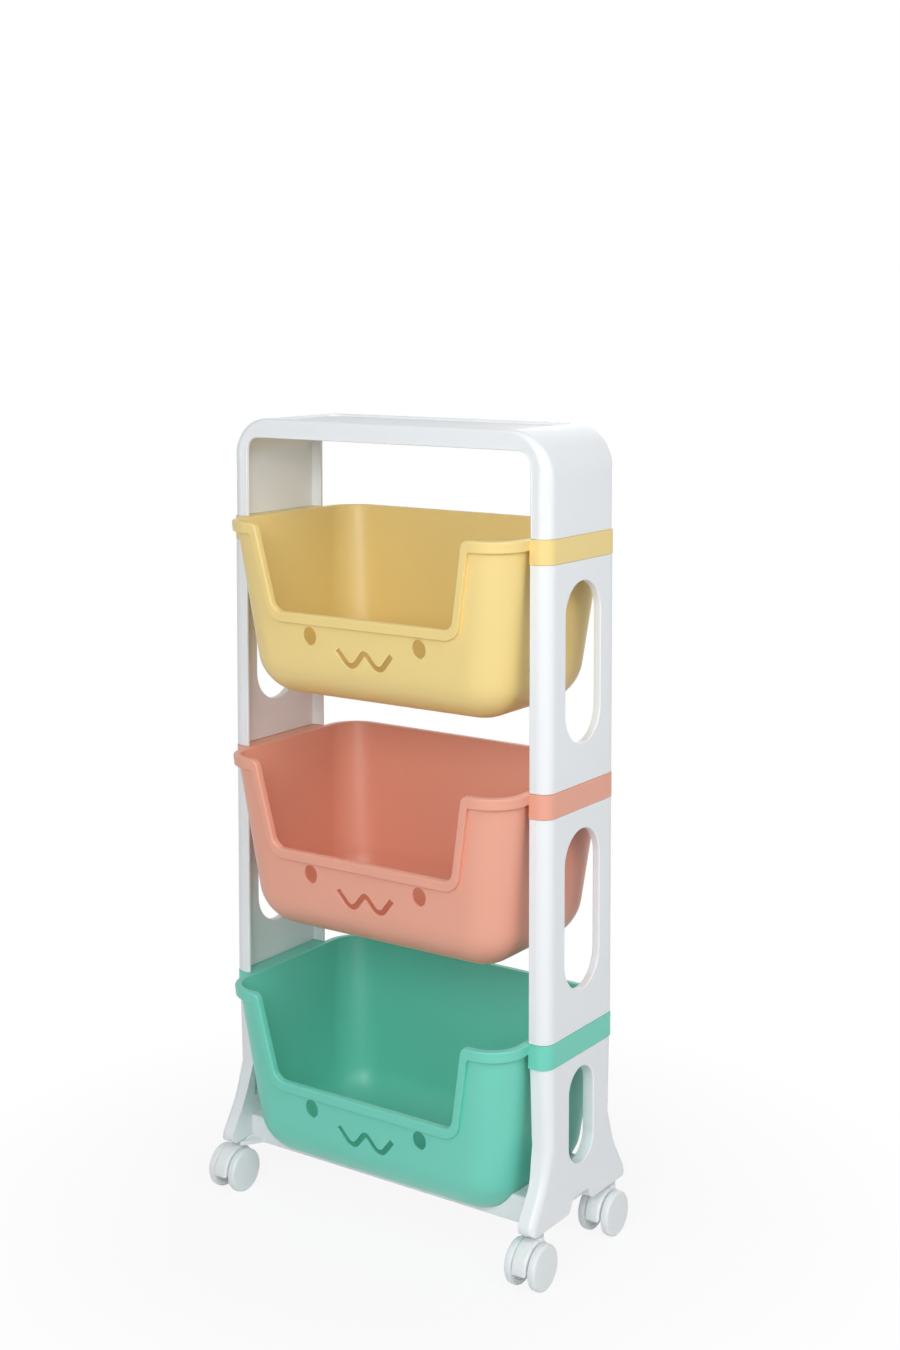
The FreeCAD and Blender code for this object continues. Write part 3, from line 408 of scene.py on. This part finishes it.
def lip_section(width):
    """Closed section (distance from the edge, outwards) of the rim roll."""
    big, small, low = LIP_ROUND, LIP_INNER_ROUND, LIP_LOW_ROUND
    inner = -WALL - LIP_PROUD
    section = [(big - big * math.sin(QUARTER * t), LIP_OUT - big + big * math.cos(QUARTER * t))
               for t in LIP_TURN]
    section += [(small - small * math.cos(QUARTER * t),
                 inner + small - small * math.sin(QUARTER * t)) for t in LIP_TURN]
    # down the inner face, and through the wall to its outside
    section += [(width * 0.5, -WALL - 0.1), (width - 0.6, -WALL + 0.25), (width - 0.2, -0.6)]
    section += [(width - low + low * math.cos(QUARTER * t),
                 LIP_OUT - low + low * math.sin(QUARTER * t)) for t in LIP_TURN]
    return section


def lip_parts():
    """Rolled rim round the top that dips down and round the lowered front."""
    edge = dip_line([(-DIP_TOP, 0), (-DIP_FOOT, DIP_DEEP), (DIP_FOOT, DIP_DEEP), (DIP_TOP, 0)],
                    DIP_ROUNDS)
    slope = (DIP_TOP - DIP_FOOT) / DIP_DEEP
    trim_foot = DIP_DEEP + TRIM_FOOT
    top_x, foot_x = (DIP_TOP + TRIM_SIDE - slope * down for down in (LIP_TALL, trim_foot))
    trim = dip_line([(-top_x, LIP_TALL), (-foot_x, trim_foot), (foot_x, trim_foot),
                     (top_x, LIP_TALL)], TRIM_ROUNDS)
    rings = []
    for (x0, d0), (x1, d1) in zip(edge, trim):
        width = math.hypot(x1 - x0, d1 - d0)
        shares = [(along / width, out) for along, out in lip_section(width)]
        rings.append([lean_point(x0 + (x1 - x0) * share, d0 + (d1 - d0) * share, out)
                      for share, out in shares])
    shares = [(along / LIP_TALL, out) for along, out in lip_section(LIP_TALL)]
    for p, n in plan_line():
        rings.append([(*(p + n * (out - LEAN * LIP_TALL * share)), -LIP_TALL * share)
                      for share, out in shares])
    return loft(rings, closed=True)


def end_band_parts(side):
    """Block of the bin between two side panels, with a web set back towards the tub."""
    half_x, half_y, web_y = HALF_WIDTH + BAND_PROUD, HALF_DEPTH + BAND_PROUD, HALF_DEPTH - WEB_BACK
    path = rounded_path([
        (FLANGE_X, -half_y, SEAM_EDGE), (half_x, -half_y, BAND_CORNER),
        (half_x, half_y, BAND_CORNER), (FLANGE_X, half_y, SEAM_EDGE), (FLANGE_X, web_y, 0),
        (WEB_X, web_y, 0), (WEB_X, -web_y, 0), (FLANGE_X, -web_y, 0)], BAND_STEPS, BAND_SUPPORT)
    foot = [(-BAND + SEAM + run, grow) for run, grow in soft_edge(SEAM_EDGE)]
    top = [(-SEAM - run, grow) for run, grow in reversed(soft_edge(SEAM_EDGE))]
    return loft(on_side(upright_rings(path, foot + top), side))


def mouth_path():
    """Wave slot with square ends, anticlockwise."""
    run, rise, half, stroke = MOUTH_RUN, MOUTH_RISE, MOUTH_HALF, MOUTH_STROKE
    slant = math.hypot(run, rise)
    up, dx, dy = stroke * slant / run, stroke * rise / slant, stroke * run / slant
    peak = MOUTH_PEAK
    trough = peak + rise
    tip = trough - rise * (half - run) / run
    return rounded_path([
        (-half - dx, -tip - dy, 0), (-run, -trough - up, TROUGH_UNDER),
        (0, -peak - up, PEAK_UNDER), (run, -trough - up, TROUGH_UNDER),
        (half + dx, -tip - dy, 0), (half - dx, -tip + dy, 0),
        (run, -trough + up, TROUGH_OVER), (0, -peak + up, PEAK_OVER),
        (-run, -trough + up, TROUGH_OVER), (-half + dx, -tip + dy, 0)])


def build_bin(name, level, material):
    """A bin in three pieces: tub, rim roll with trim, and end bands."""
    shell = mesh_piece(name + "_bin_shell", *shell_parts())
    under_trim = TRIM_SIDE * UNDER_TRIM
    top_x, foot_x, foot = DIP_TOP + under_trim, DIP_FOOT + under_trim, -DIP_DEEP - under_trim
    dip = rounded_path([(top_x, CUT_ABOVE, 0), (-top_x, CUT_ABOVE, 0),
                        (-foot_x, foot, CUT_ROUND), (foot_x, foot, CUT_ROUND)])
    cutters = [front_cutter("dip cutter", dip, CUT_IN, CUT_OUT)]
    for hole, path in (
            ("left eye", circle(-EYE_X, -EYE_DEPTH, EYE_HALF_X, EYE_HALF_Z, EYE_STEPS)),
            ("right eye", circle(EYE_X, -EYE_DEPTH, EYE_HALF_X, EYE_HALF_Z, EYE_STEPS)),
            ("mouth", mouth_path())):
        cutters.append(front_cutter(hole + " cutter", path, FACE_IN, FACE_OUT, FACE_FLARE))
    take_away(shell, *cutters)
    lip = mesh_piece(name + "_bin_lip", *lip_parts())
    bands = mesh_piece(name + "_bin_bands", *merged(end_band_parts(1), end_band_parts(-1)))
    for piece in (shell, lip, bands):
        for vertex in piece.data.vertices:
            vertex.co.z += level * MM
        smooth(piece)
        finish_piece(piece, material, "frame", name + "_bin")


for tier, material, slot in (("upper", YELLOW, "yellow_plastic"),
                             ("middle", CORAL, "coral_plastic"),
                             ("lower", MINT, "mint_plastic")):
    build_bin(tier, LEVELS[tier], material)


# ------------------------------------------------------------ side panels
PANEL_CORNER, PANEL_EDGE, PANEL_INNER = 14, 1.2, 2.5
PANEL_STEPS, PANEL_SUPPORT = 8, 0.3
WINDOW_HALF, WINDOW_LOW, WINDOW_HIGH = 34.5, 42, 210.5


def panel_section():
    """Plan of a side panel: a skin with a flange in front and behind."""
    return rounded_path([
        (FLANGE_X, -HALF_DEPTH, PANEL_EDGE), (HALF_WIDTH, -HALF_DEPTH, PANEL_CORNER),
        (HALF_WIDTH, HALF_DEPTH, PANEL_CORNER), (FLANGE_X, HALF_DEPTH, PANEL_EDGE),
        (FLANGE_X, FLANGE_Y, PANEL_EDGE), (SKIN_X, FLANGE_Y, PANEL_INNER),
        (SKIN_X, -FLANGE_Y, PANEL_INNER), (FLANGE_X, -FLANGE_Y, PANEL_EDGE)],
        PANEL_STEPS, PANEL_SUPPORT)


def build_panel(name, side, base):
    height = PITCH - BAND
    levels = [(base + SEAM + run, grow) for run, grow in soft_edge(SEAM_EDGE)]
    levels += [(base + height - SEAM - run, grow) for run, grow in reversed(soft_edge(SEAM_EDGE))]
    rings = on_side(upright_rings(panel_section(), levels), side)
    panel = mesh_piece(name + "_panel", *loft(rings))
    take_away(panel, window_cutter("window cutter", WINDOW_HALF, base + WINDOW_LOW,
                                   base + WINDOW_HIGH, SKIN_X, HALF_WIDTH, side))
    smooth(panel)
    finish_piece(panel, WHITE, "frame", name)


for tier, base in (("middle", LEVELS["lower"]), ("upper", LEVELS["middle"])):
    build_panel(tier + "_side_right", 1, base)
    build_panel(tier + "_side_left", -1, base)


# ------------------------------------------------------------ top frame
HOOP_X, HOOP_DEPTH, HOOP_FLANGE = 207.2, 67.7, 3.5
HOOP_BEND, HOOP_INNER_BEND, BEND_STOPS = 46.0, 15.0, 12
SIDE_EDGE, TOP_EDGE, INNER_EDGE, EDGE_FADE = 13.6, 4.2, 1.2, 0.8
EDGE_STEPS, INNER_EDGE_STEPS = 8, 3
HOOP_SKIN, SOLID, LAST_HOLLOW_STOP = 8.5, 99.0, 8       # the hollow ends part of the way round
HOLLOW_LEAST = 0.3
UPRIGHT_STOPS, BOARD_STOPS = (SEAM, 1, 20, 40, 60), (150, 100, 50)
TRAY_X, TRAY_Y, TRAY_CORNER = 161, 56.7, 10
TRAY_STEPS = [(-3, -1.2), (-2.7, -0.5), (-2, 0), (-0.9, 0.1), (0, 0.8), (3, 2.5)]


def hoop_ring(out, inn, edge, skin):
    """Section of the hoop between an outer and an inner point (x, z), hollowed down to a skin."""
    out, inn = Vector(out), Vector(inn)
    thick = (inn - out).length
    way = (inn - out) / thick
    depth, small, flange = HOOP_DEPTH, INNER_EDGE, HOOP_DEPTH - HOOP_FLANGE
    floor = min(skin, thick - HOLLOW_LEAST)

    def spot(run, y):
        p = out + way * run
        return p.x, y, p.y

    def quarter(run, y, radius, start, steps):
        angles = [start + QUARTER * k / steps for k in range(steps + 1)]
        return [spot(run - radius * math.cos(a), y + radius * math.sin(a)) for a in angles]

    return (quarter(thick - small, -depth + small, small, math.pi, INNER_EDGE_STEPS)[::-1]
            + quarter(edge, -depth + edge, edge, -QUARTER, EDGE_STEPS)
            + quarter(edge, depth - edge, edge, 0, EDGE_STEPS)
            + quarter(thick - small, depth - small, small, QUARTER, INNER_EDGE_STEPS)
            + [spot(thick, flange), spot(floor, flange), spot(floor, -flange),
               spot(thick, -flange)])


def build_top_frame():
    """Hoop of two side panels and the top board, with a shallow tray in the board."""
    big, small = HOOP_BEND, HOOP_INNER_BEND
    stops = [((HOOP_X, LEVELS["upper"] + up), (FLANGE_X, LEVELS["upper"] + up),
              SIDE_EDGE, HOOP_SKIN) for up in UPRIGHT_STOPS]
    for k in range(BEND_STOPS + 1):
        a = QUARTER * k / BEND_STOPS
        out = (HOOP_X - big + big * math.cos(a), BOARD_TOP - big + big * math.sin(a))
        inn = (FLANGE_X - small + small * math.cos(a), BOARD_UNDER - small + small * math.sin(a))
        edge = SIDE_EDGE - (SIDE_EDGE - TOP_EDGE) * (k / BEND_STOPS) ** EDGE_FADE
        stops.append((out, inn, edge, HOOP_SKIN if k <= LAST_HOLLOW_STOP else SOLID))
    stops += [((x, BOARD_TOP), (x, BOARD_UNDER), TOP_EDGE, SOLID) for x in BOARD_STOPS]
    left = [((-out[0], out[1]), (-inn[0], inn[1]), edge, skin)
            for out, inn, edge, skin in reversed(stops)]
    hoop = mesh_piece("top_frame_hoop", *loft([hoop_ring(*stop) for stop in stops + left]))
    tray = rounded_path([(TRAY_X, -TRAY_Y, TRAY_CORNER), (TRAY_X, TRAY_Y, TRAY_CORNER),
                         (-TRAY_X, TRAY_Y, TRAY_CORNER), (-TRAY_X, -TRAY_Y, TRAY_CORNER)])
    levels = [(BOARD_TOP + up, grow) for up, grow in TRAY_STEPS]
    take_away(hoop, mesh_piece("tray cutter", *loft(upright_rings(tray, levels))))
    smooth(hoop)
    finish_piece(hoop, WHITE, "frame", "top_frame")


build_top_frame()


# ------------------------------------------------------------ legs
LEG_HALF = [(23, SOLE, 6), (101.2, SOLE, 8.5), (72.5, 100, 75), (62, 138, 0),
            (66, LEG_TOP - SEAM, 0.4)]                      # (y, z, radius), foot to top
LEG_ARCH = [(-15.5, 68, 6), (15.5, 68, 6)]
LEG_STEPS, LEG_SUPPORT, LEG_EDGE_STEPS, LEG_INNER_EDGE = 10, 0.5, 6, 1.4
ARCH_EDGE, LONG_EDGE, LONG_EDGE_GAIN, LEG_TOP_EDGE = 1.2, 6.8, 5, 13.0
LONG_SIDE_Y, GAIN_FROM, GAIN_OVER = 58, 100, 60
SOLE_FADE, SOLE_FADE_FROM = 1.6, 0.95                       # the wide rounding ends at the sole
FOOT_SETBACK = ((170, 30), (189.8, 30), (189.8, 100), (FLANGE_X, 150), (170, 150))    # (x, z)
PAST_LEG = 130
POCKET_STEPS = 6
POCKET = [(56, 98, 6), (56, LEG_TOP - 5, 5), (-56, LEG_TOP - 5, 5), (-56, 98, 6)]
POCKET_PLACES = [(180, 0.6), (192, 0), (193.8, -0.5), (194.5, -1.6)]
LEG_SKIN_X, LEG_WINDOW = 194.5, (24.5, 102, 204)


def leg_edge(point, normal):
    """Radius of the outer edge at a point of the outline, and the way it is rounded."""
    if point.y > LEG_TOP - 1:
        return LEG_TOP_EDGE, Vector((math.copysign(1, point.x), 0))
    if abs(point.x) <= LONG_SIDE_Y:
        return ARCH_EDGE, normal
    gain = LONG_EDGE_GAIN * min(max((point.y - GAIN_FROM) / GAIN_OVER, 0), 1)
    share = min(max(SOLE_FADE * (normal.y + SOLE_FADE_FROM), 0), 1)
    return ARCH_EDGE + (LONG_EDGE + gain) * share, normal


def build_leg(name, side):
    """Flared leg with two feet, hollow behind its skin."""
    mirrored = [(-y, z, radius) for y, z, radius in reversed(LEG_HALF)]
    path = rounded_path(LEG_HALF + mirrored + LEG_ARCH, LEG_STEPS, LEG_SUPPORT)
    edges = [leg_edge(p, n) for p, n in zip(path, path_normals(path))]
    outer = []
    for k in range(LEG_EDGE_STEPS + 1):
        turn = QUARTER * (k / LEG_EDGE_STEPS)
        outer.append([(HALF_WIDTH - edge * (1 - math.cos(turn)),
                       p.x - n.x * edge * (1 - math.sin(turn)),
                       p.y - n.y * edge * (1 - math.sin(turn)))
                      for p, (edge, n) in zip(path, edges)])
    inner = sideways_rings(path, [(FLANGE_X + run, grow)
                                  for run, grow in reversed(soft_edge(LEG_INNER_EDGE))])
    leg = mesh_piece(name + "_shell", *loft(on_side(outer + inner, side)))
    slab = [[(x, y, z) for x, z in FOOT_SETBACK] for y in (-PAST_LEG, PAST_LEG)]
    hollow = sideways_rings(rounded_path(POCKET, POCKET_STEPS), POCKET_PLACES)
    take_away(leg, mesh_piece("leg hollow", *loft(on_side(hollow, side))),
              mesh_piece("foot setback", *loft(on_side(slab, side))),
              window_cutter("leg window", *LEG_WINDOW, LEG_SKIN_X, HALF_WIDTH, side))
    smooth(leg)
    finish_piece(leg, WHITE, "frame", name)


build_leg("leg_right", 1)
build_leg("leg_left", -1)


# ------------------------------------------------------------ cradle under the lowest bin
CRADLE_BLOCK = [(-61, 50, 1.5), (61, 50, 1.5), (61, 78.5, 3), (-61, 78.5, 3)]   # (y, z, radius)
CRADLE_ENDS = [(-189.7, -0.3), (-189.4, 0), (189.4, 0), (189.7, -0.3)]
CRADLE_STEPS, CRADLE_SUPPORT, SEAT_GROWTH = 5, 0.5, 0.4
WING_PLAN = [(160, -60, 0), (172, -61, 2), (189.2, -85, 1), (189.2, 85, 1), (172, 61, 2),
             (160, 60, 0)]                                                      # (x, y, radius)
WING_LEVELS, WING_STEPS = [(50.2, -0.5), (50.7, 0), (54, 0), (54.5, -0.5)], 4


def build_cradle():
    """Cross block with a seat for the bin, and a wing to the feet at each end."""
    block = rounded_path(CRADLE_BLOCK, CRADLE_STEPS, CRADLE_SUPPORT)
    cradle = mesh_piece("base_cradle_shell", *loft(sideways_rings(block, CRADLE_ENDS)))
    seat = [[(x, y, z + LEVELS["lower"]) for x, y, z in ring]
            for ring in tub_skin(-SEAT_GROWTH, BIN_DEEP, FLOOR_ROUND, top=0)]
    take_away(cradle, mesh_piece("bin seat", *loft(list(reversed(seat)))))
    smooth(cradle)
    finish_piece(cradle, WHITE, "frame", "base_cradle")
    for side, word in ((1, "right"), (-1, "left")):
        rings = upright_rings(rounded_path(WING_PLAN, WING_STEPS), WING_LEVELS)
        wing = mesh_piece("base_cradle_wing_" + word, *loft(on_side(rings, side)))
        smooth(wing)
        finish_piece(wing, WHITE, "frame", "base_cradle")


build_cradle()


# ------------------------------------------------------------ casters
TRAIL, STEM_X, STEM_Y = 9.5, 198.0, 72.5            # axle behind the pin, and the pin's place
WHEEL_R, WHEEL_IN, WHEEL_OUT = 23.6, 9.3, 18.3
# (from the wheel's inner or outer face, radius) of its half section, hub first
WHEEL_BACK = [(0, 0), (0, 5), (0, 7.6), (0.4, 8), (1.4, 8.2), (1.6, 8.6), (1.6, 17.4), (1.4, 17.8),
              (0.4, 18), (0, 18.4), (0, 20.6), (0.25, 22.2), (0.9, 23.1), (2.2, 23.5),
              (3.2, WHEEL_R)]
WHEEL_FACE = [(-3.2, WHEEL_R), (-2.2, 23.5), (-1.2, 23.2), (-0.45, 22.5), (-0.05, 21.4), (0.1, 20),
              (0.25, 10), (0.3, 0)]
WHEEL_STEPS, WHEEL_SHARP = 72, 40
HOOD_R, HOOD_LOW, HOOD_STEPS = 25.5, 20.5, 40       # HOOD_LOW is its lower edge over the floor
HOOD_EDGE = [(2.0, 0), (0.5, 0.3)]                  # the lower edge, tucked under
HOOD_SIDE = [(5.0, 0), (6.6, -0.15), (7.6, -0.6), (8.15, -1.3), (8.3, -2.2)]
BOSS_R, BOSS_STEPS = 8, 32
BOSS_LEVELS = [(10, -0.5), (22.5, 0.3), (24.3, 0.2), (25.0, -0.1), (25.4, -0.5), (26.0, -1.0)]


def wheel_parts():
    """Half section (distance along the axle, radius) of a wheel, turned about the axle line."""
    section = [(WHEEL_IN + run, r) for run, r in WHEEL_BACK]
    section += [(WHEEL_OUT + run, r) for run, r in WHEEL_FACE]
    turns = [FULL * k / WHEEL_STEPS for k in range(WHEEL_STEPS)]
    rings = [[(x, r * math.cos(a), r * math.sin(a)) for a in turns] for x, r in section[1:-1]]
    points, faces = loft(rings, caps=False)
    for pole, ring in ((section[0][0], 0), (section[-1][0], len(rings) - 1)):
        tip, base = len(points), ring * WHEEL_STEPS
        points.append((pole, 0, 0))
        faces += [(base + k, base + (k + 1) % WHEEL_STEPS, tip) for k in range(WHEEL_STEPS)]
    return points, faces


def moved(parts, shift, side=1):
    """Parts shifted from the hub to their place, mirrored where side is -1."""
    points, faces = parts
    return [(shift[0] + side * x, shift[1] + y, shift[2] + z) for x, y, z in points], faces


def hood_parts():
    """Cover between the two wheels, open below, with the swivel boss on top."""
    a0 = math.asin((HOOD_LOW - WHEEL_R) / HOOD_R)
    arc = [Vector((HOOD_R * math.cos(a), HOOD_R * math.sin(a)))
           for a in (a0 + (math.pi - 2 * a0) * k / HOOD_STEPS for k in range(HOOD_STEPS + 1))]
    front = [arc[0] + Vector((-back, up)) for back, up in HOOD_EDGE]
    rear = [arc[-1] + Vector((back, up)) for back, up in reversed(HOOD_EDGE)]
    places = [(-x, grow) for x, grow in reversed(HOOD_SIDE)] + HOOD_SIDE
    cover = loft(sideways_rings(front + arc[1:-1] + rear, places))
    boss = loft(upright_rings(circle(0, TRAIL, BOSS_R, BOSS_R, BOSS_STEPS), BOSS_LEVELS))
    return merged(cover, boss)


for end, sy in (("front", -1), ("rear", 1)):
    for hand, sx in (("left", -1), ("right", 1)):
        caster = "caster_%s_%s" % (end, hand)
        hub = (sx * STEM_X, sy * STEM_Y - TRAIL, WHEEL_R)
        hood = mesh_piece(caster + "_hood", *moved(hood_parts(), hub))
        smooth(hood)
        finish_piece(hood, CASTER, caster, caster + "_housing")
        for word, way in (("left", -1), ("right", 1)):
            wheel = mesh_piece("%s_wheel_disc_%s" % (caster, word),
                               *moved(wheel_parts(), hub, way))
            smooth(wheel, WHEEL_SHARP)
            body = "%s_wheel_%s" % (caster, word)
            finish_piece(wheel, TREAD, body, body)
        for part, material in (("bush", BUSH), ("stem", STEEL), ("axle", STEEL)):
            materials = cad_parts["%s_%s" % (caster, part)].data.materials
            materials.clear()
            materials.append(material)


# ------------------------------------------------------------ stage, light and camera (metres)
FLOOR_HALF, FLOOR_GREY, FLOOR_ROUGH, FLOOR_SPECULAR = 30.0, 0.8, 0.9, 0.1
SHADOW_NEAR, SHADOW_FAR, SHADOW_GLOW = 0.25, 0.6, 0.88  # the shadow fades between two distances
WORLD_LIGHT, WORLD_SEEN = 0.34, 1.0
LAMPS = [("right softbox", (2.0, -0.7, 1.8), (0, 0, 0.7), 1.2, 18),
         ("front softbox", (0.8, -2.2, 1.4), (0, 0, 0.8), 1.0, 23.5),
         ("high front softbox", (2.0, -2.6, 2.4), (0, 0, 0.45), 1.6, 5),
         ("rear softbox", (-0.6, 2.6, 1.6), (0, 0, 0.5), 1.6, 12)]
CAMERA_SPOT, CAMERA_DOWN, CAMERA_TURN = (1.23324, -1.72141, 0.99749), 3.61, 34.70
CAMERA_LENS, CAMERA_SENSOR, CAMERA_SHIFT = 52.40, 36.0, -0.1841


def seen_directly(nodes, links):
    """1 for rays from the camera and for mirror-like reflections, otherwise 0."""
    path = nodes.new("ShaderNodeLightPath")
    either = nodes.new("ShaderNodeMath")
    either.operation = "MAXIMUM"
    links.new(path.outputs["Is Camera Ray"], either.inputs[0])
    links.new(path.outputs["Is Glossy Ray"], either.inputs[1])
    return either.outputs[0]


def build_floor():
    """White floor that glows where it is seen, less so near the object, so its shadow shows."""
    floor_mesh = bpy.data.meshes.new("floor")
    corners = [(-1, -1), (1, -1), (1, 1), (-1, 1)]
    floor_mesh.from_pydata([(x * FLOOR_HALF, y * FLOOR_HALF, 0) for x, y in corners],
                           [], [(0, 1, 2, 3)])
    floor = bpy.data.objects.new("floor", floor_mesh)
    bpy.context.scene.collection.objects.link(floor)
    paint = bpy.data.materials.new("white studio floor")
    paint.use_nodes = True
    nodes, links = paint.node_tree.nodes, paint.node_tree.links
    base = nodes["Principled BSDF"]
    base.inputs["Base Color"].default_value = (FLOOR_GREY, FLOOR_GREY, FLOOR_GREY, 1)
    base.inputs["Roughness"].default_value = FLOOR_ROUGH
    base.inputs["Specular IOR Level"].default_value = FLOOR_SPECULAR
    glow = nodes.new("ShaderNodeEmission")
    where = nodes.new("ShaderNodeTexCoord")
    length = nodes.new("ShaderNodeVectorMath")
    length.operation = "LENGTH"
    links.new(where.outputs["Object"], length.inputs[0])
    fade = nodes.new("ShaderNodeMapRange")
    fade.inputs["From Min"].default_value = SHADOW_NEAR
    fade.inputs["From Max"].default_value = SHADOW_FAR
    fade.inputs["To Min"].default_value = SHADOW_GLOW
    links.new(length.outputs["Value"], fade.inputs["Value"])
    share = nodes.new("ShaderNodeMath")
    share.operation = "MULTIPLY"
    links.new(fade.outputs["Result"], share.inputs[0])
    links.new(seen_directly(nodes, links), share.inputs[1])
    blend = nodes.new("ShaderNodeMixShader")
    links.new(share.outputs[0], blend.inputs[0])
    links.new(base.outputs[0], blend.inputs[1])
    links.new(glow.outputs[0], blend.inputs[2])
    links.new(blend.outputs[0], nodes["Material Output"].inputs["Surface"])
    floor_mesh.materials.append(paint)


def build_world():
    """Even white surround: pure white where it is seen, and weaker as a light."""
    world = bpy.data.worlds.new("white studio")
    bpy.context.scene.world = world
    world.use_nodes = True
    nodes, links = world.node_tree.nodes, world.node_tree.links
    strength = nodes.new("ShaderNodeMapRange")
    strength.inputs["To Min"].default_value = WORLD_LIGHT
    strength.inputs["To Max"].default_value = WORLD_SEEN
    links.new(seen_directly(nodes, links), strength.inputs["Value"])
    nodes["Background"].inputs["Color"].default_value = (1, 1, 1, 1)
    links.new(strength.outputs["Result"], nodes["Background"].inputs["Strength"])


def build_lamp(name, spot, aim, size, power):
    light = bpy.data.lights.new(name, "AREA")
    light.shape, light.size, light.energy = "SQUARE", size, power
    holder = bpy.data.objects.new(name, light)
    holder.location = spot
    holder.rotation_euler = (Vector(aim) - Vector(spot)).to_track_quat("-Z", "Y").to_euler()
    bpy.context.scene.collection.objects.link(holder)


def build_camera():
    """Camera fitted to corner points of the photo."""
    camera = bpy.data.cameras.new("camera")
    camera.lens, camera.sensor_width, camera.sensor_fit = CAMERA_LENS, CAMERA_SENSOR, "AUTO"
    camera.shift_y = CAMERA_SHIFT
    holder = bpy.data.objects.new("camera", camera)
    holder.location = CAMERA_SPOT
    holder.rotation_euler = (math.radians(90 - CAMERA_DOWN), 0, math.radians(CAMERA_TURN))
    bpy.context.scene.collection.objects.link(holder)
    bpy.context.scene.camera = holder


build_floor()
build_world()
for lamp in LAMPS:
    build_lamp(*lamp)
build_camera()
bpy.context.scene.view_settings.view_transform = "Standard"
